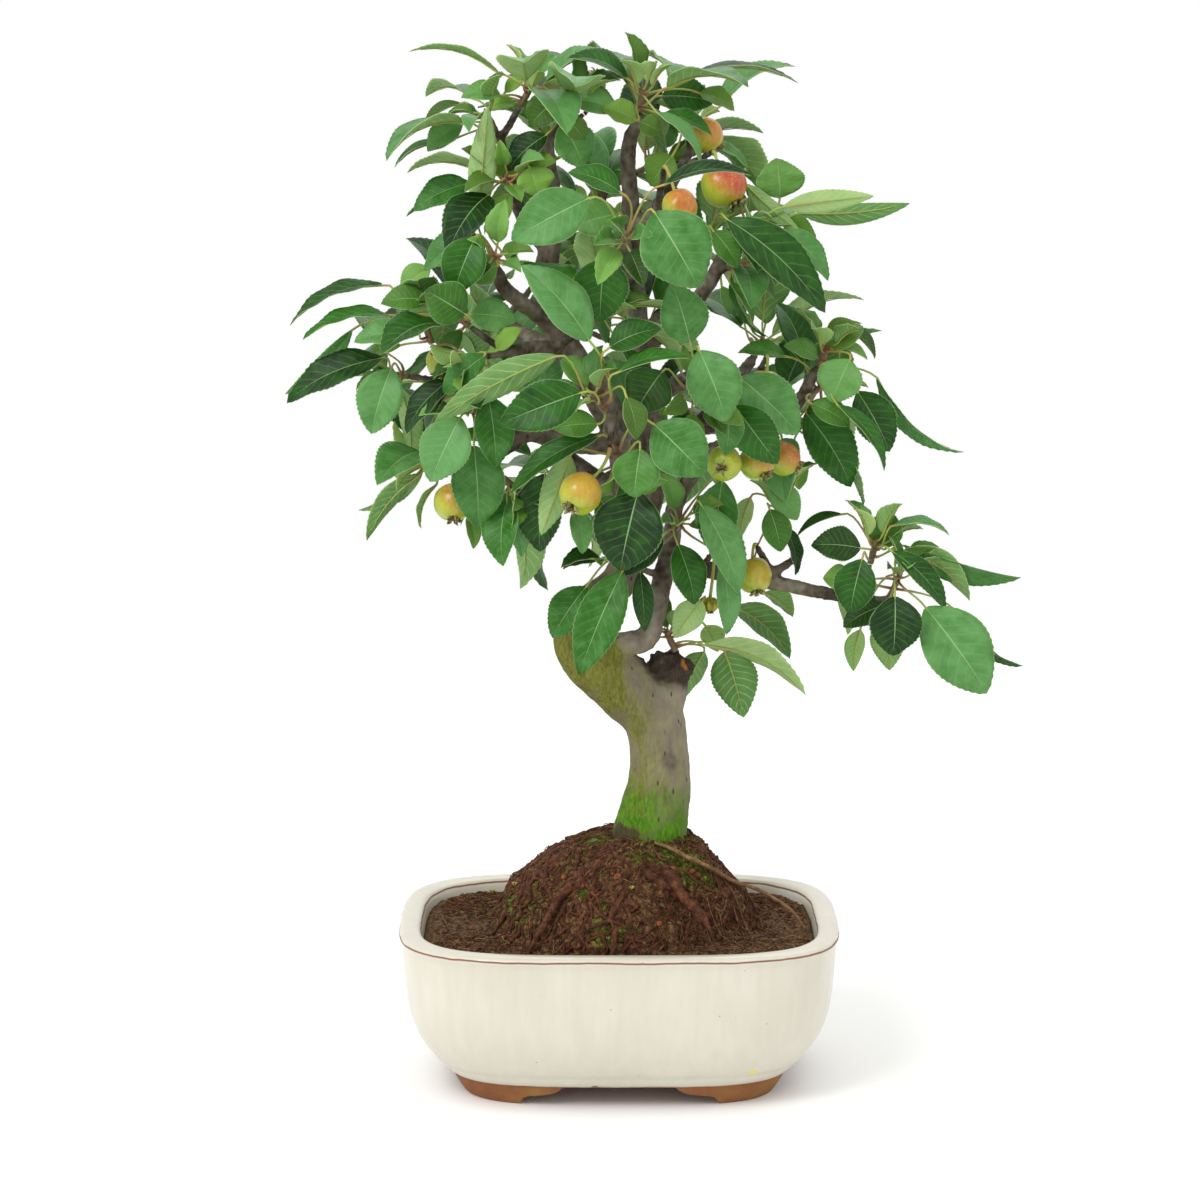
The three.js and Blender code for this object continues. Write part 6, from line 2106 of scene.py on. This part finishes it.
# ---------------------------------------------------------------- studio
@dataclass(frozen=True)
class Studio:
    """A pale floor, soft light and the camera of the show view.

    Attributes:
        floor: Radius of the floor in metres.
        lamps: Place, size in metres and power in watts of each soft lamp.
    """

    floor: float = 1.6
    lamps: tuple[tuple[tuple[float, float, float], float, float], ...] = (
        ((-1.2, -1.5, 1.9), 1.0, 30.0),
        ((1.6, -1.2, 1.1), 1.4, 1.5),
        ((0.3, 1.3, 1.7), 1.2, 6.0),
    )

    def build(self) -> None:
        """Builds floor, lamps, world and camera."""
        bm = bmesh.new()
        bmesh.ops.create_circle(bm, cap_ends=True, segments=96, radius=self.floor)
        mesh = mesh_of(bm, "studio_floor")
        made, add, skin, coords = start_finish("white_studio_paper")
        cloud = add("TexNoise", {"Vector": coords, "Scale": 3.0})
        tint = add("ValToRGB", {"Fac": cloud}, [(0.3, "#F6F6F5"), (0.7, "#FAFAF9")])
        fill(skin, {"Base Color": tint, "Roughness": 0.9})
        mesh.materials.append(made)
        floor = bpy.data.objects.new("studio_floor", mesh)
        bpy.context.scene.collection.objects.link(floor)
        floor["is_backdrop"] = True
        middle = ORIGIN + UP * 0.25
        for i, (place, size, power) in enumerate(self.lamps):
            light = bpy.data.lights.new(f"soft_lamp_{i + 1}", "AREA")
            light.size = size
            light.energy = power
            lamp = bpy.data.objects.new(light.name, light)
            lamp.location = Vector(place) + ORIGIN
            lamp.rotation_euler = (middle - lamp.location).to_track_quat("-Z", "Y").to_euler()
            bpy.context.scene.collection.objects.link(lamp)
        world = bpy.data.worlds.new("white_room")
        world.use_nodes = True
        fill(world.node_tree.nodes["Background"], {"Color": (1.0, 1.0, 1.0, 1.0), "Strength": 1.0})
        bpy.context.scene.world = world
        bpy.context.scene.view_settings.view_transform = "Standard"
        camera = bpy.data.cameras.new("show_view")
        camera.sensor_fit = "HORIZONTAL"
        camera.angle = 2 * math.atan(SHEET.middle / SHEET.focal)
        camera.clip_start = 0.05
        eye = bpy.data.objects.new("show_view", camera)
        eye.location = SHEET.eye * MM + ORIGIN
        aim = SHEET.aim * MM + ORIGIN
        eye.rotation_euler = (aim - eye.location).to_track_quat("-Z", "Y").to_euler()
        bpy.context.scene.collection.objects.link(eye)
        bpy.context.scene.camera = eye


def write_sizes() -> None:
    """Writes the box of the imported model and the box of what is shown.
    """
    boxes = {name: [list(corner) for corner in box] for name, box in (("cad", CAD_BOX), ("visual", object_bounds()))}
    for name, (low, high) in boxes.items():
        log.info("%s box: %s mm", name, [round((b - a) / MM, 1) for a, b in zip(low, high)])


def main() -> None:
    """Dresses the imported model, piece by piece, and sets up the studio."""
    logging.basicConfig(level=logging.INFO, format="%(message)s", force=True)
    noise.seed_set(SEED)  # unseeded, noise_vector follows the clock
    rng = random.Random(SEED)
    maker = LeafMaker(BladeShape(), rng)
    tips = LeafMaker(BladeShape(rows=14, lanes=(0.0, 0.14, 0.6, 1.0), open_fold=0.5), rng)
    sprays = [Spray(name, maker, tips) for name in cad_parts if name.startswith("spray_")]
    seats = [spray.seat for spray in sprays] + [SHEET.place(*seat) for seat, _ in FRUITS.values()]
    wood = Wood(WoodSizes(), seats)
    wood.dress()
    for spray in sprays:
        spray.dress()
    maker.clear()
    tips.clear()
    for name in FRUITS:
        FruitCluster(name, wood, rng).dress()
    Pot(PotSizes()).dress()
    Earth(RootBall(MoundSizes()), rng).dress()
    Studio().build()
    write_sizes()


if __name__ == "__main__":
    main()
